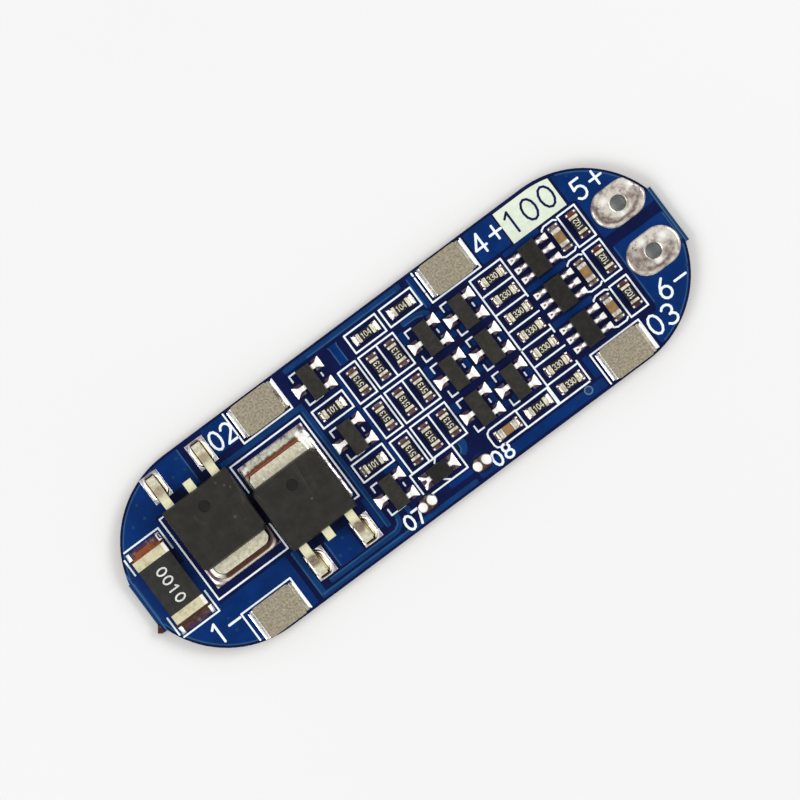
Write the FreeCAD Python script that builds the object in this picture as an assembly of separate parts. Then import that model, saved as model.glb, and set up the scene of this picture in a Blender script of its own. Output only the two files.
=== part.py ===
import FreeCAD, Part
import math
import os

from FreeCAD import Vector

# Battery management board for three cells in series, in millimetres.
# The origin is the centre of the board's underside. +Z points out of the component side,
# +X runs along the board to the output pads and +Y to the edge that holds the first power
# transistor's leads.

# Laminate, and the copper lands that stand on it
board_thickness = 1.0
land_thickness = 0.05

# Steps from one column of components to the next, from the left end to the right end
end_to_shunt = 2.85
shunt_switch_gap = 1.25
switch_gap = 0.28
switch_driver_gap = 2.35
driver_to_divider = 3.05
divider_pitch_1 = 2.0
divider_pitch_2 = 1.82
divider_to_channel = 2.75
channel_column_pitch = 3.57
channel_to_ladder = 3.53
ladder_to_guard = 3.65
guard_to_capacitor = 2.65
capacitor_to_filter = 1.8
filter_to_output = 3.62
output_to_end = 2.88

# Steps across the board, from the upper edge down the driver column to the lower edge
edge_to_driver = 2.42
driver_pitch = 2.77
driver_row_count = 5
driver_to_sense = 2.4
sense_to_edge = 1.35

# Other rows across the board: three cell channels repeat at one pitch
channel_pitch = 3.51
channel_middle_y = -0.08
divider_middle_y = 0.47
filter_middle_y = 0.07
ladder_pitch = 1.765
ladder_middle_y = -1.03
ladder_count = 7
upper_chip_inset = 1.88
lower_chip_inset = 2.3
upper_chip_from_divider_2 = 0.78
lower_chip_from_channel_1 = 0.78
upper_chip_pitch = 3.55
lower_chip_pitch = 3.07

# Ends of the board, where it was snapped out of its panel along two scored lines
end_trim = 0.1
right_stub_width = 5.3
left_stub_width = 3.95
stub_offset = 0.12
score_depth = 0.3
score_width = 0.35
burr_reach = 0.42
burr_length = 0.8
burr_height = 0.6

# Output pads: long tinned lands round a plated hole
output_pad_length = 4.7
output_pad_width = 3.25
output_pad_pitch = 4.8
output_pad_middle_y = 0.62
output_pad_edge_gap = 0.2
output_tin = 0.12
output_bore_radius = 0.625
barrel_wall = 0.17

# Sense pads: mounds of solder on round lands
sense_pad_radius = 0.85
sense_crown_radius = 0.4
sense_mound_height = 0.35
sense_1_from_driver = 1.6
sense_2_from_driver = 7.1

# Nickel weld tabs along both long edges
tab_length = 3.65
tab_depth = 2.85
tab_thickness = 0.4
tab_corner_radius = 0.28
tab_land_margin = 0.42
tab_edge_gap = 0.15
tab_1_from_switch_2 = 1.36
tab_minus_from_switch_1 = -0.27
tab_plus_from_channel_2 = 0.96
tab_2_from_guard = 1.42

# Shunt resistor
shunt_length = 6.1
shunt_width = 3.1
shunt_height = 0.6
shunt_wrap = 0.85
shunt_land_out = 0.9
shunt_plating = 0.08

# Small chip resistors and capacitors share one footprint
chip_length = 1.6
chip_width = 0.8
chip_wrap = 0.3
chip_plating = 0.04
chip_land_out = 0.42
chip_land_margin = 0.1
resistor_height = 0.45
capacitor_height = 0.8
fillet_share = 0.6
hollow_share = 0.35

# Moulded packages
mould_draft = 7.0
small_lead_thickness = 0.13
small_lead_width = 0.4
small_lead_shoulder = 0.07
small_lead_embed = 0.25
small_lead_foot = 0.35
small_stand_off = 0.08
small_pin_pitch = 0.95

# Three-leaded transistors
transistor_depth = 1.3
transistor_length = 2.9
transistor_height = 1.05
transistor_span = 2.4
transistor_land_width = 1.0
transistor_land_out = 0.42

# Six-leaded protection circuits
guard_depth = 1.6
guard_length = 2.9
guard_height = 1.15
guard_span = 2.8
guard_land_width = 0.6
guard_land_out = 0.5

# Two-leaded diode
diode_length = 1.8
diode_width = 1.35
diode_height = 0.95
diode_span = 2.6
diode_lead_width = 0.35
diode_land_width = 1.35
diode_land_out = 0.42
diode_from_divider = 0.88
diode_edge_inset = 2.87

# Power transistors
switch_width = 6.4
switch_length = 6.0
switch_height = 2.3
switch_stand_off = 0.05
switch_corner = 0.35
switch_parting = 1.05
switch_dimple_radius = 0.48
switch_dimple_depth = 0.12
charge_dimple_inset = 1.6
discharge_dimple_inset = 4.47
slug_width = 5.3
slug_thickness = 0.5
slug_reach = 1.0
slug_embed = 4.4
slug_corner = 0.3
switch_lead_pitch = 2.286
switch_lead_width = 0.78
switch_lead_thickness = 0.5
switch_lead_reach = 2.88
switch_lead_shoulder = 0.7
switch_lead_foot = 1.1
switch_lead_bend = 0.25
switch_lead_embed = 0.8
switch_stub_reach = 0.93
switch_lead_land_width = 1.7
switch_lead_land_length = 2.45
switch_lead_land_out = 0.32
switch_land_inset = 0.015
switch_land_length = 6.88
charge_land_out = 0.6
discharge_land_out = 1.1
discharge_land_shift = 0.3
switch_1_edge_gap = 0.81
switch_2_edge_gap = 1.78

# Lengths and places that follow
shunt_to_switch = (shunt_width + switch_width) / 2 + shunt_switch_gap
switch_pitch = switch_width + switch_gap
switch_to_driver = (switch_width + transistor_depth) / 2 + switch_driver_gap
switch_land_width = switch_width - 2 * switch_land_inset
column_steps = (
    end_to_shunt, shunt_to_switch, switch_pitch, switch_to_driver, driver_to_divider,
    divider_pitch_1, divider_pitch_2, divider_to_channel, channel_column_pitch,
    channel_to_ladder, ladder_to_guard, guard_to_capacitor, capacitor_to_filter,
    filter_to_output, output_to_end,
)
board_length = sum(column_steps)
columns = [-board_length / 2 + sum(column_steps[:i + 1]) for i in range(len(column_steps) - 1)]
(shunt_x, switch_1_x, switch_2_x, driver_x, divider_1_x, divider_2_x, divider_3_x,
 channel_1_x, channel_2_x, ladder_x, guard_x, capacitor_x, filter_x, output_x) = columns
board_width = (
    edge_to_driver + (driver_row_count - 1) * driver_pitch + driver_to_sense + sense_to_edge
)
half_width = board_width / 2
land_top = board_thickness + land_thickness


def block(x, y, z, length, depth, height):
    """Box centred on x and y and standing on z."""
    return Part.makeBox(length, depth, height, Vector(x - length / 2, y - depth / 2, z))


def prism(points, z, height):
    """Straight prism of a closed outline, standing on z."""
    corners = [Vector(x, y, z) for x, y in points]
    return Part.Face(Part.makePolygon(corners + corners[:1])).extrude(Vector(0, 0, height))


def turned(shape, angle):
    """Copy of a shape, turned about the Z axis."""
    copy = shape.copy()
    copy.rotate(Vector(0, 0, 0), Vector(0, 0, 1), angle)
    return copy


def seated(shapes, x, y, angle=0):
    """Copies of a component's solids, turned and set down on the lands."""
    copies = [turned(shape, angle) for shape in shapes]
    for copy in copies:
        copy.translate(Vector(x, y, land_top))
    return copies


def rows(middle, pitch, count):
    """Evenly spaced places, from the highest down."""
    return [middle + ((count - 1) / 2 - i) * pitch for i in range(count)]


def obround(length, width, z, height):
    """Slot-shaped slab with round ends, standing on z."""
    middle = block(0, 0, z, length - width, width, height)
    ends = [
        Part.makeCylinder(width / 2, height, Vector(side * (length - width) / 2, 0, z))
        for side in (-1, 1)
    ]
    return middle.multiFuse(ends).removeSplitter()


def side_profile(points, width):
    """Solid of a profile drawn in X and Z, centred across Y."""
    corners = [Vector(x, -width / 2, z) for x, z in points]
    face = Part.Face(Part.makePolygon(corners + corners[:1]))
    return face.extrude(Vector(0, width, 0))


def bent_strip(path, thickness, width, inner_radius=0):
    """Metal strip along a path in X and Z, with sharp bends or round ones."""
    headings = [math.atan2(z2 - z1, x2 - x1) for (x1, z1), (x2, z2) in zip(path, path[1:])]
    upper, lower, turns = [], [], []
    for (x, z), first, second in zip(path, headings[:1] + headings, headings + headings[-1:]):
        heading = (first + second) / 2
        half = thickness / 2 / math.cos((second - first) / 2)
        upper.append((x - half * math.sin(heading), z + half * math.cos(heading)))
        lower.append((x + half * math.sin(heading), z - half * math.cos(heading)))
        turns.append(second - first)
    strip = side_profile(upper + lower[::-1], width)
    if inner_radius == 0:
        return strip
    for above, below, turn in list(zip(upper, lower, turns))[1:-1]:
        inner, outer = (above, below) if turn > 0 else (below, above)
        strip = strip.makeFillet(inner_radius, [edge_at(strip, inner)])
        strip = strip.makeFillet(inner_radius + thickness, [edge_at(strip, outer)])
    return strip


def edge_at(shape, corner):
    """Edge across the strip that passes through a corner of its profile."""
    def distance(edge):
        middle = edge.CenterOfMass
        along_y = abs(edge.BoundBox.YLength - shape.BoundBox.YLength)
        return math.hypot(middle.x - corner[0], middle.z - corner[1]) + along_y

    return min(shape.Edges, key=distance)


def gull_wing(exit_height, span_half, side, foot, shoulder, thickness, width, embed, bend=0):
    """Formed lead along +X, from inside the body's side down to its foot at the land."""
    middle = thickness / 2
    path = [
        (side - embed, exit_height),
        (side + shoulder, exit_height),
        (span_half - foot, middle),
        (span_half, middle),
    ]
    return bent_strip(path, thickness, width, bend)


def package_outline(width, length, z, corner):
    """Closed outline of a package at one height, with its -Y corners cut."""
    x, y = width / 2, length / 2
    points = [(x, y), (-x, y), (-x, -y + corner), (-x + corner, -y), (x - corner, -y), (x, -y + corner)]
    if corner == 0:
        points = [(x, y), (-x, y), (-x, -y), (x, -y)]
    corners = [Vector(px, py, z) for px, py in points]
    return Part.makePolygon(corners + corners[:1])


def moulded_body(width, length, bottom, parting, top, corner=0):
    """Moulded package, widest at its parting line and drafted above and below it."""
    wires = []
    for z in (bottom, parting, top):
        inset = abs(z - parting) * math.tan(math.radians(mould_draft))
        wires.append(package_outline(width - 2 * inset, length - 2 * inset, z, corner))
    return Part.makeLoft(wires, True, True)


def joint(toe, under, out, land_width, climb, fillet_width, land_shift=0):
    """Land below a foot or chip end that stops at x = toe, and the hollow solder beyond it."""
    middle = toe + (out - under) / 2
    land = block(middle, land_shift, -land_thickness, under + out, land_width, land_thickness)
    solder = side_profile([
        (toe, 0),
        (toe + out, 0),
        (toe + out * hollow_share, climb * hollow_share),
        (toe, climb),
    ], fillet_width)
    return land.fuse(solder).removeSplitter()


def chip(length, width, height, wrap, plating, side_plating):
    """Chip component along X: coated ceramic body first, then its two plated ends."""
    core_width = width - 2 * side_plating
    core = block(0, 0, plating, length - 2 * plating, core_width, height - 2 * plating)
    ends = [
        block(side * (length - wrap) / 2, 0, 0, wrap, width, height).cut(core) for side in (-1, 1)
    ]
    coat = block(0, 0, height - plating, length - 2 * wrap, core_width, plating)
    return [core.fuse(coat).removeSplitter()] + ends


def chip_joints(length, width, wrap, out, climb):
    """Lands and solder at both ends of a chip along X."""
    land_width = width + 2 * chip_land_margin
    one = joint(length / 2, wrap, out, land_width, climb, land_width)
    return [one, turned(one, 180)]


def board_slab(inset, z, height):
    """Board outline without its stubs, drawn in by an inset."""
    round_length = board_length + 2 * end_trim - 2 * inset
    slab = obround(round_length, board_width - 2 * inset, z, height)
    return slab.common(block(0, 0, z, board_length - 2 * inset, board_width, height))


def snapped_stub(side, width):
    """Break-off stub at one end, reaching back into the round end of the board."""
    length = half_width
    x = side * (board_length - length) / 2
    return block(x, -stub_offset, 0, length, width, board_thickness)


def score_grooves(side):
    """Sloping half grooves of the scored line, above and below one end."""
    end = side * board_length / 2
    inner = end - side * score_width
    grooves = []
    for face, inward in ((board_thickness, -1), (0, 1)):
        profile = [(inner, face), (end, face + inward * score_depth), (end, face)]
        grooves.append(side_profile(profile, board_width))
    return grooves


def torn_burr():
    """Chip of torn laminate left standing at the lower corner of the left stub."""
    x = -board_length / 2
    y = -left_stub_width / 2 - stub_offset
    points = [
        (x + burr_reach, y + burr_reach),
        (x, y),
        (x - burr_reach, y - burr_length * 0.7),
        (x - burr_reach * 0.2, y - burr_length),
        (x + burr_reach * 2, y - burr_length),
    ]
    return prism(points, board_thickness - score_depth - burr_height, burr_height)


def output_pad_places():
    """Centres of the output pads, the positive one first."""
    return [(output_x, y) for y in rows(output_pad_middle_y, output_pad_pitch, 2)]


def circuit_board():
    """Laminate with round ends, snapped stubs and the drilled output holes."""
    slab = board_slab(0, 0, board_thickness)
    slab = slab.multiFuse([
        snapped_stub(1, right_stub_width), snapped_stub(-1, left_stub_width), torn_burr(),
    ])
    slab = slab.removeSplitter()
    for cut in score_grooves(1) + score_grooves(-1):
        slab = slab.cut(cut)
    for x, y in output_pad_places():
        place = Vector(x, y, 0)
        slab = slab.cut(Part.makeCylinder(output_bore_radius + barrel_wall, board_thickness, place))
    return slab


def output_pad(x, y):
    """Plated hole with its long tinned land."""
    tinned = obround(output_pad_length, output_pad_width, board_thickness, land_thickness + output_tin)
    tinned.translate(Vector(x, y, 0))
    room = board_slab(output_pad_edge_gap, board_thickness, land_thickness + output_tin)
    place = Vector(x, y, 0)
    barrel = Part.makeCylinder(output_bore_radius + barrel_wall, board_thickness, place)
    bore = Part.makeCylinder(output_bore_radius, land_top + output_tin, place)
    return tinned.common(room).fuse(barrel).cut(bore).removeSplitter()


def sense_pad(x, y):
    """Mound of solder on a round land."""
    return Part.makeCone(sense_pad_radius, sense_crown_radius, sense_mound_height,
                         Vector(x, y, board_thickness))


def cell_tab():
    """Nickel weld tab with round corners, and the land and solder that hold it."""
    tab = block(0, 0, 0, tab_length, tab_depth, tab_thickness)
    upright = [edge for edge in tab.Edges if edge.BoundBox.ZLength > tab_thickness / 2]
    tab = tab.makeFillet(tab_corner_radius, upright)
    straight = tab_depth - 2 * tab_corner_radius
    half = joint(tab_length / 2, tab_length / 2, tab_land_margin, tab_depth,
                 tab_thickness * fillet_share, straight)
    return [tab], [half.fuse(turned(half, 180)).removeSplitter()]


def leaded_package(length, depth, height, span, left_pins, right_pins, lead_width):
    """Small moulded package with formed leads: its body, and its leads along X."""
    parting = small_stand_off + (height - small_stand_off) / 2
    wing = gull_wing(parting, span / 2, depth / 2, small_lead_foot, small_lead_shoulder,
                     small_lead_thickness, lead_width, small_lead_embed)
    leads = []
    for side, pins in ((180, left_pins), (0, right_pins)):
        for y in pins:
            lead = turned(wing, side)
            lead.translate(Vector(0, y, 0))
            leads.append(lead)
    body = moulded_body(depth, length, small_stand_off, parting, height).cut(Part.makeCompound(leads))
    return body, leads


def leaded_joints(span, left_pins, right_pins, land_width, land_out):
    """Lands and toe solder of a small leaded package along X."""
    one = joint(span / 2, small_lead_foot, land_out, land_width,
                small_lead_thickness * fillet_share, land_width)
    joints = []
    for side, pins in ((180, left_pins), (0, right_pins)):
        for y in pins:
            foot = turned(one, side)
            foot.translate(Vector(0, y, 0))
            joints.append(foot)
    return joints


def transistor():
    """Three-leaded transistor: one lead on the left, two on the right."""
    pins = ([0], [small_pin_pitch, -small_pin_pitch])
    body, leads = leaded_package(transistor_length, transistor_depth, transistor_height,
                                 transistor_span, *pins, small_lead_width)
    solder = leaded_joints(transistor_span, *pins, transistor_land_width,
                           transistor_land_out)
    return [body] + leads, solder


def guard_circuit():
    """Six-leaded protection circuit, three leads a side."""
    side_pins = rows(0, small_pin_pitch, 3)
    pins = (side_pins, side_pins)
    body, leads = leaded_package(guard_length, guard_depth, guard_height, guard_span,
                                 *pins, small_lead_width)
    solder = leaded_joints(guard_span, *pins, guard_land_width, guard_land_out)
    return body, leads, solder


def diode():
    """Two-leaded diode along X."""
    body, leads = leaded_package(diode_width, diode_length, diode_height, diode_span,
                                 [0], [0], diode_lead_width)
    solder = leaded_joints(diode_span, [0], [0], diode_land_width, diode_land_out)
    return [body] + leads, solder


def power_switch(dimple_inset, land_out, land_shift):
    """Power transistor, leads towards +Y: body, leadframe, and solder with its lands."""
    side = switch_length / 2
    slug_end = side + slug_reach
    slug = prism([
        (slug_width / 2, slug_embed - side),
        (-slug_width / 2, slug_embed - side),
        (-slug_width / 2, slug_corner - slug_end),
        (slug_corner - slug_width / 2, -slug_end),
        (slug_width / 2 - slug_corner, -slug_end),
        (slug_width / 2, slug_corner - slug_end),
    ], 0, slug_thickness)
    rise = side - switch_lead_embed
    stub = bent_strip([
        (slug_embed - side - slug_thickness, slug_thickness / 2),
        (slug_embed - side + slug_thickness * 0.2, slug_thickness / 2),
        (rise, switch_parting),
        (side + switch_stub_reach, switch_parting),
    ], switch_lead_thickness, switch_lead_width)
    drain = slug.fuse(turned(stub, 90)).removeSplitter()
    wing = turned(gull_wing(switch_parting, side + switch_lead_reach, side, switch_lead_foot,
                            switch_lead_shoulder, switch_lead_thickness, switch_lead_width,
                            switch_lead_embed, switch_lead_bend), 90)
    leads = []
    for x in (-switch_lead_pitch, switch_lead_pitch):
        lead = wing.copy()
        lead.translate(Vector(x, 0, 0))
        leads.append(lead)
    frame = [drain] + leads
    body = moulded_body(switch_width, switch_length, switch_stand_off, switch_parting,
                        switch_height, switch_corner)
    dimple = Part.makeCylinder(switch_dimple_radius, switch_dimple_depth,
                               Vector(0, side - dimple_inset,
                                      switch_height - switch_dimple_depth))
    body = body.cut(Part.makeCompound(frame)).cut(dimple)

    tab_solder = turned(joint(slug_end, switch_land_length - land_out, land_out,
                              switch_land_width, slug_thickness * fillet_share,
                              slug_width - 2 * slug_corner, land_shift), -90)
    foot = turned(joint(side + switch_lead_reach, switch_lead_land_length - switch_lead_land_out,
                        switch_lead_land_out, switch_lead_land_width,
                        switch_lead_thickness * fillet_share, switch_lead_width, -land_shift), 90)
    solder = [tab_solder]
    for x in (-switch_lead_pitch, switch_lead_pitch):
        one = foot.copy()
        one.translate(Vector(x, 0, 0))
        solder.append(one)
    return body, frame, solder


# Where the small components stand: x, y and turn
channel_rows = rows(channel_middle_y, channel_pitch, 3)
divider_rows = rows(divider_middle_y, channel_pitch, 3)
filter_rows = rows(filter_middle_y, channel_pitch, 3)
driver_middle_y = half_width - edge_to_driver - (driver_row_count - 1) / 2 * driver_pitch
driver_rows = rows(driver_middle_y, driver_pitch, driver_row_count)
ladder_rows = rows(ladder_middle_y, ladder_pitch, ladder_count)
upper_chip_x = divider_2_x + upper_chip_from_divider_2
upper_chip_y = half_width - upper_chip_inset
lower_chip_x = channel_1_x + lower_chip_from_channel_1
lower_chip_y = lower_chip_inset - half_width

resistor_places = [(driver_x, y, 0) for y in driver_rows[1::2]]
resistor_places += [(x, y, 90) for x in (divider_1_x, divider_2_x, divider_3_x) for y in divider_rows]
resistor_places += [(ladder_x, y, 0) for y in ladder_rows]
resistor_places += [(filter_x, y, 90) for y in filter_rows]
resistor_places += [(upper_chip_x, upper_chip_y, 0), (upper_chip_x + upper_chip_pitch, upper_chip_y, 0)]
resistor_places += [(lower_chip_x + lower_chip_pitch, lower_chip_y, 0)]
capacitor_places = [(capacitor_x, y, 90) for y in filter_rows] + [(lower_chip_x, lower_chip_y, 0)]
driver_places = [(driver_x, y) for y in driver_rows[::2]]
channel_places = [(x, y) for x in (channel_1_x, channel_2_x) for y in channel_rows]
guard_places = [(guard_x, y) for y in channel_rows]

nodes = {"circuit_board": [circuit_board()]}
solder_joints = []


def add(name, solids, x, y, angle=0):
    """Seat a component's solids on the board as one node."""
    nodes[name] = seated(solids, x, y, angle)


def add_solder(solids, x, y, angle=0):
    """Seat a component's lands and solder on the board."""
    solder_joints.extend(seated(solids, x, y, angle))


for name, (x, y) in zip(("positive_output_pad", "negative_output_pad"), output_pad_places()):
    nodes[name] = [output_pad(x, y)]

sense_y = sense_to_edge - half_width
nodes["sense_pad_1"] = [sense_pad(driver_x + sense_1_from_driver, sense_y)]
nodes["sense_pad_2"] = [sense_pad(driver_x + sense_2_from_driver, sense_y)]

tab, tab_solder = cell_tab()
tab_y = half_width - tab_edge_gap - tab_depth / 2
tab_places = {
    "cell_tab_minus": (switch_1_x + tab_minus_from_switch_1, -tab_y),
    "cell_tab_1": (switch_2_x + tab_1_from_switch_2, tab_y),
    "cell_tab_plus": (channel_2_x + tab_plus_from_channel_2, tab_y),
    "cell_tab_2": (guard_x + tab_2_from_guard, -tab_y),
}
for name, (x, y) in tab_places.items():
    add(name, tab, x, y)
    add_solder(tab_solder, x, y)

shunt = chip(shunt_length, shunt_width, shunt_height, shunt_wrap, shunt_plating, 0)
add("shunt_body", shunt[:1], shunt_x, 0, 90)
add("shunt_terminals", shunt[1:], shunt_x, 0, 90)
add_solder(chip_joints(shunt_length, shunt_width, shunt_wrap, shunt_land_out,
                       shunt_height * fillet_share), shunt_x, 0, 90)

lead_end = switch_length / 2 + switch_lead_reach
switches = {
    "charge_switch": (
        power_switch(charge_dimple_inset, charge_land_out, 0),
        (switch_1_x, half_width - switch_1_edge_gap - lead_end, 0),
    ),
    "discharge_switch": (
        power_switch(discharge_dimple_inset, discharge_land_out, -discharge_land_shift),
        (switch_2_x, switch_2_edge_gap + lead_end - half_width, 180),
    ),
}
for name, ((body, leadframe, solder), place) in switches.items():
    add(name + "_body", [body], *place)
    add(name + "_leads", leadframe, *place)
    add_solder(solder, *place)

guard_body, guard_leads, guard_solder = guard_circuit()
for i, place in enumerate(guard_places, 1):
    add(f"protection_circuit_{i}_body", [guard_body], *place)
    add(f"protection_circuit_{i}_leads", guard_leads, *place)
    add_solder(guard_solder, *place)

transistor_solids, transistor_solder = transistor()
for group, places in (("driver", driver_places), ("channel", channel_places)):
    for i, place in enumerate(places, 1):
        add(f"{group}_transistor_{i}", transistor_solids, *place)
        add_solder(transistor_solder, *place)

diode_solids, diode_solder = diode()
diode_place = (divider_1_x + diode_from_divider, diode_edge_inset - half_width)
add("diode", diode_solids, *diode_place)
add_solder(diode_solder, *diode_place)

resistor = chip(chip_length, chip_width, resistor_height, chip_wrap, chip_plating, 0)
resistor_solder = chip_joints(chip_length, chip_width, chip_wrap, chip_land_out,
                              resistor_height * fillet_share)
for i, place in enumerate(resistor_places, 1):
    add(f"resistor_{i:02d}", resistor, *place)
    add_solder(resistor_solder, *place)

capacitor = chip(chip_length, chip_width, capacitor_height, chip_wrap, chip_plating, chip_plating)
capacitor_solder = chip_joints(chip_length, chip_width, chip_wrap, chip_land_out,
                               capacitor_height * fillet_share)
for i, place in enumerate(capacitor_places, 1):
    add(f"capacitor_{i}", capacitor, *place)
    add_solder(capacitor_solder, *place)

nodes["solder_joints"] = solder_joints

os.makedirs("parts", exist_ok=True)
for name, solids in nodes.items():
    shape = solids[0] if len(solids) == 1 else Part.makeCompound(solids)
    shape.exportStep(f"parts/{name}.step")
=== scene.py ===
import math

import bmesh
import bpy
from bpy.props import FloatProperty, FloatVectorProperty
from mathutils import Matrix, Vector


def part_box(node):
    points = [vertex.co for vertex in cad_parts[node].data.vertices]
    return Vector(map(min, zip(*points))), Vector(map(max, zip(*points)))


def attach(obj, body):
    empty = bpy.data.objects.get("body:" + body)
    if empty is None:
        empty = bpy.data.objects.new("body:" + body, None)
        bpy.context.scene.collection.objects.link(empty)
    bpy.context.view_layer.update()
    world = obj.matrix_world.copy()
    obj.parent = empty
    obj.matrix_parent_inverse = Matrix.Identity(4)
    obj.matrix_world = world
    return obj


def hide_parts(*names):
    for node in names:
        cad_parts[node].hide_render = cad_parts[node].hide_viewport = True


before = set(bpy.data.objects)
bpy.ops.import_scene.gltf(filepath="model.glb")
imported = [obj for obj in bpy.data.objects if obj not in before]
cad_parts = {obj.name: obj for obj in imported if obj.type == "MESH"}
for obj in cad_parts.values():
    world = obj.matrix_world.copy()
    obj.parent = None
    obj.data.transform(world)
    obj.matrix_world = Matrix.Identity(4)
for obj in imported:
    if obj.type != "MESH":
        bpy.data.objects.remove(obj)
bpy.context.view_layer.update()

bl_info = {
    "name": "Battery management board",
    "version": (1, 0, 0),
    "blender": (4, 5, 0),
    "location": "3D View > Sidebar > Board",
    "description": "Finishes the packed battery management board and sets its stage",
    "category": "Object",
}

MM = 0.001


def tone(red, green, blue):
    """Linear colour of a tone read off a screen, with its alpha."""
    def linear(value):
        value /= 255
        return value / 12.92 if value <= 0.04045 else ((value + 0.055) / 1.055) ** 2.4

    return (linear(red), linear(green), linear(blue), 1.0)


def length_size(name, description, value):
    """Length property with its default in millimetres."""
    return FloatProperty(name=name, description=description, default=value * MM, unit="LENGTH")


def colour_value(name, description, red, green, blue):
    """Colour property with its default as a screen tone."""
    return FloatVectorProperty(
        name=name, description=description, subtype="COLOR", size=4, min=0, max=1,
        default=tone(red, green, blue),
    )


class BoardLook(bpy.types.PropertyGroup):
    relief: length_size("Copper relief", "Height of masked copper above the laminate", 0.03)
    rounding: length_size("Relief rounding", "Soft edge of the mask over a copper edge", 0.05)
    copper_blue: colour_value("Mask over copper", "Solder mask where copper lies under it", 2, 37, 91)
    track_blue: colour_value("Mask over tracks", "Solder mask over narrow tracks", 10, 47, 93)
    edge_blue: colour_value("Mask on copper edges", "Thin mask on the edges of the copper", 36, 72, 108)
    edge_width: length_size("Edge width", "Width of the paler mask along a copper edge", 0.13)
    bare_blue: colour_value("Mask over laminate", "Solder mask where no copper lies under it", 7, 16, 56)
    laminate: colour_value("Laminate", "Cut edge of the laminate", 120, 104, 66)
    torn: colour_value("Torn laminate", "Chip of laminate left at the snapped end", 66, 42, 34)


class PrintLook(bpy.types.PropertyGroup):
    line_width: length_size("Line width", "Width of the printed outlines", 0.145)
    legend_width: length_size("Legend line width", "Line width of the large figures", 0.2)
    thickness: length_size("Ink thickness", "Height of the ink above the laminate", 0.05)
    ink: colour_value("Ink", "Printed legend", 232, 240, 246)
    block_ink: colour_value("Block ink", "Solid printed block", 216, 225, 206)


class SolderLook(bpy.types.PropertyGroup):
    bright: colour_value("Solder", "Clean solder and tinned copper", 205, 202, 190)
    # Painted highlight: the near-white that solder shows where it reflects the lamps
    glint: colour_value("Wetted solder", "Smooth solder that ran thin over a land", 246, 244, 238)
    cream: colour_value("Cream solder", "Solder that reflects the warm side of the room", 236, 229, 206)
    # Painted reflection: the red-brown that the hollow of an upright joint reflects
    stained: colour_value("Stained solder", "Painted red-brown reflection in the hollow of a joint", 146, 82, 54)
    # Painted dark reflection in the lower hollows of joints, and painted shade along their feet
    burnt: colour_value("Burnt flux", "Dark flux along the foot of a joint", 76, 54, 48)
    # Painted dim reflection in capacitor joints, and painted shade on the necks of the protection joints
    flux: colour_value("Thin flux", "Flux film over a chip joint", 112, 92, 82)
    dull: colour_value("Bare land", "Land that the solder didn't cover", 74, 52, 70)
    output_tin: colour_value("Output tin", "Blotchy tin of the output pads", 196, 192, 184)


class PartLook(bpy.types.PropertyGroup):
    moulding: colour_value("Moulding", "Moulded packages", 42, 41, 38)
    leadframe: colour_value("Leads", "Tinned leads", 206, 202, 178)
    nickel: colour_value("Nickel", "Weld tabs", 131, 124, 107)
    coat: colour_value("Resistor coat", "Dark glass over the resistor element", 34, 32, 30)
    ceramic: colour_value("Ceramic", "Body of a chip resistor", 116, 122, 112)
    brown_ceramic: colour_value("Capacitor ceramic", "Body of a chip capacitor", 128, 100, 66)
    shunt: colour_value("Shunt coat", "Coat of the shunt resistor", 44, 44, 43)


class StageLook(bpy.types.PropertyGroup):
    floor: colour_value("Floor", "Pale floor", 229, 229, 229)
    distance: length_size("Camera distance", "Camera height above the board", 500)
    field: length_size("Field", "Width of the view at the board's face", 64.594)
    world_light: FloatProperty(name="World light", description="Strength of the soft surround", default=0.62)
    key_power: FloatProperty(
        name="Key light", description="Power of each soft lamp", default=1.0, unit="POWER",
    )


PAGES = {"board": BoardLook, "print": PrintLook, "solder": SolderLook, "part": PartLook, "stage": StageLook}


def page_settings(page):
    return getattr(bpy.context.scene, "bms_" + page)


def look(page, key):
    """Setting on a page of the panel: a length in millimetres, or a colour as a tuple."""
    value = getattr(page_settings(page), key)
    return value / MM if isinstance(value, float) else tuple(value)


# Working in object and edit mode

def at(x, y, z=0.0):
    """Point given in millimetres, in metres."""
    return Vector((x, y, z)) * MM


def deselect():
    if bpy.context.mode != "OBJECT":
        bpy.ops.object.mode_set(mode="OBJECT")
    bpy.ops.object.select_all(action="DESELECT")


def select(pieces):
    deselect()
    for piece in pieces:
        piece.select_set(True)
    bpy.context.view_layer.objects.active = pieces[0]


def start(name):
    """Empty mesh at the origin, open in edit mode."""
    deselect()
    bpy.ops.object.add(type="MESH", enter_editmode=True, location=(0, 0, 0))
    bpy.context.object.name = name
    return bpy.context.object


def edit(piece):
    select([piece])
    bpy.ops.object.mode_set(mode="EDIT")


def pick(kind, test):
    """Select the vertices, edges or faces whose place in millimetres and normal pass a test."""
    mesh = bmesh.from_edit_mesh(bpy.context.object.data)
    bpy.ops.mesh.select_mode(type=kind)
    bpy.ops.mesh.select_all(action="DESELECT")
    items = {"VERT": mesh.verts, "EDGE": mesh.edges, "FACE": mesh.faces}[kind]
    for item in items:
        if kind == "VERT":
            place, normal = item.co, item.normal
        elif kind == "EDGE":
            place = (item.verts[0].co + item.verts[1].co) / 2
            normal = item.verts[1].co - item.verts[0].co
        else:
            place, normal = item.calc_center_median(), item.normal
        if test(place / MM, normal):
            item.select_set(True)
    bmesh.update_edit_mesh(bpy.context.object.data)


def shift(x, y, z):
    bpy.ops.transform.translate(value=at(x, y, z))


def scale(x, y, z=1.0):
    bpy.ops.transform.resize(value=(x, y, z))


def raise_faces(x, y, z):
    bpy.ops.mesh.extrude_region_move(TRANSFORM_OT_translate={"value": at(x, y, z)})


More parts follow.
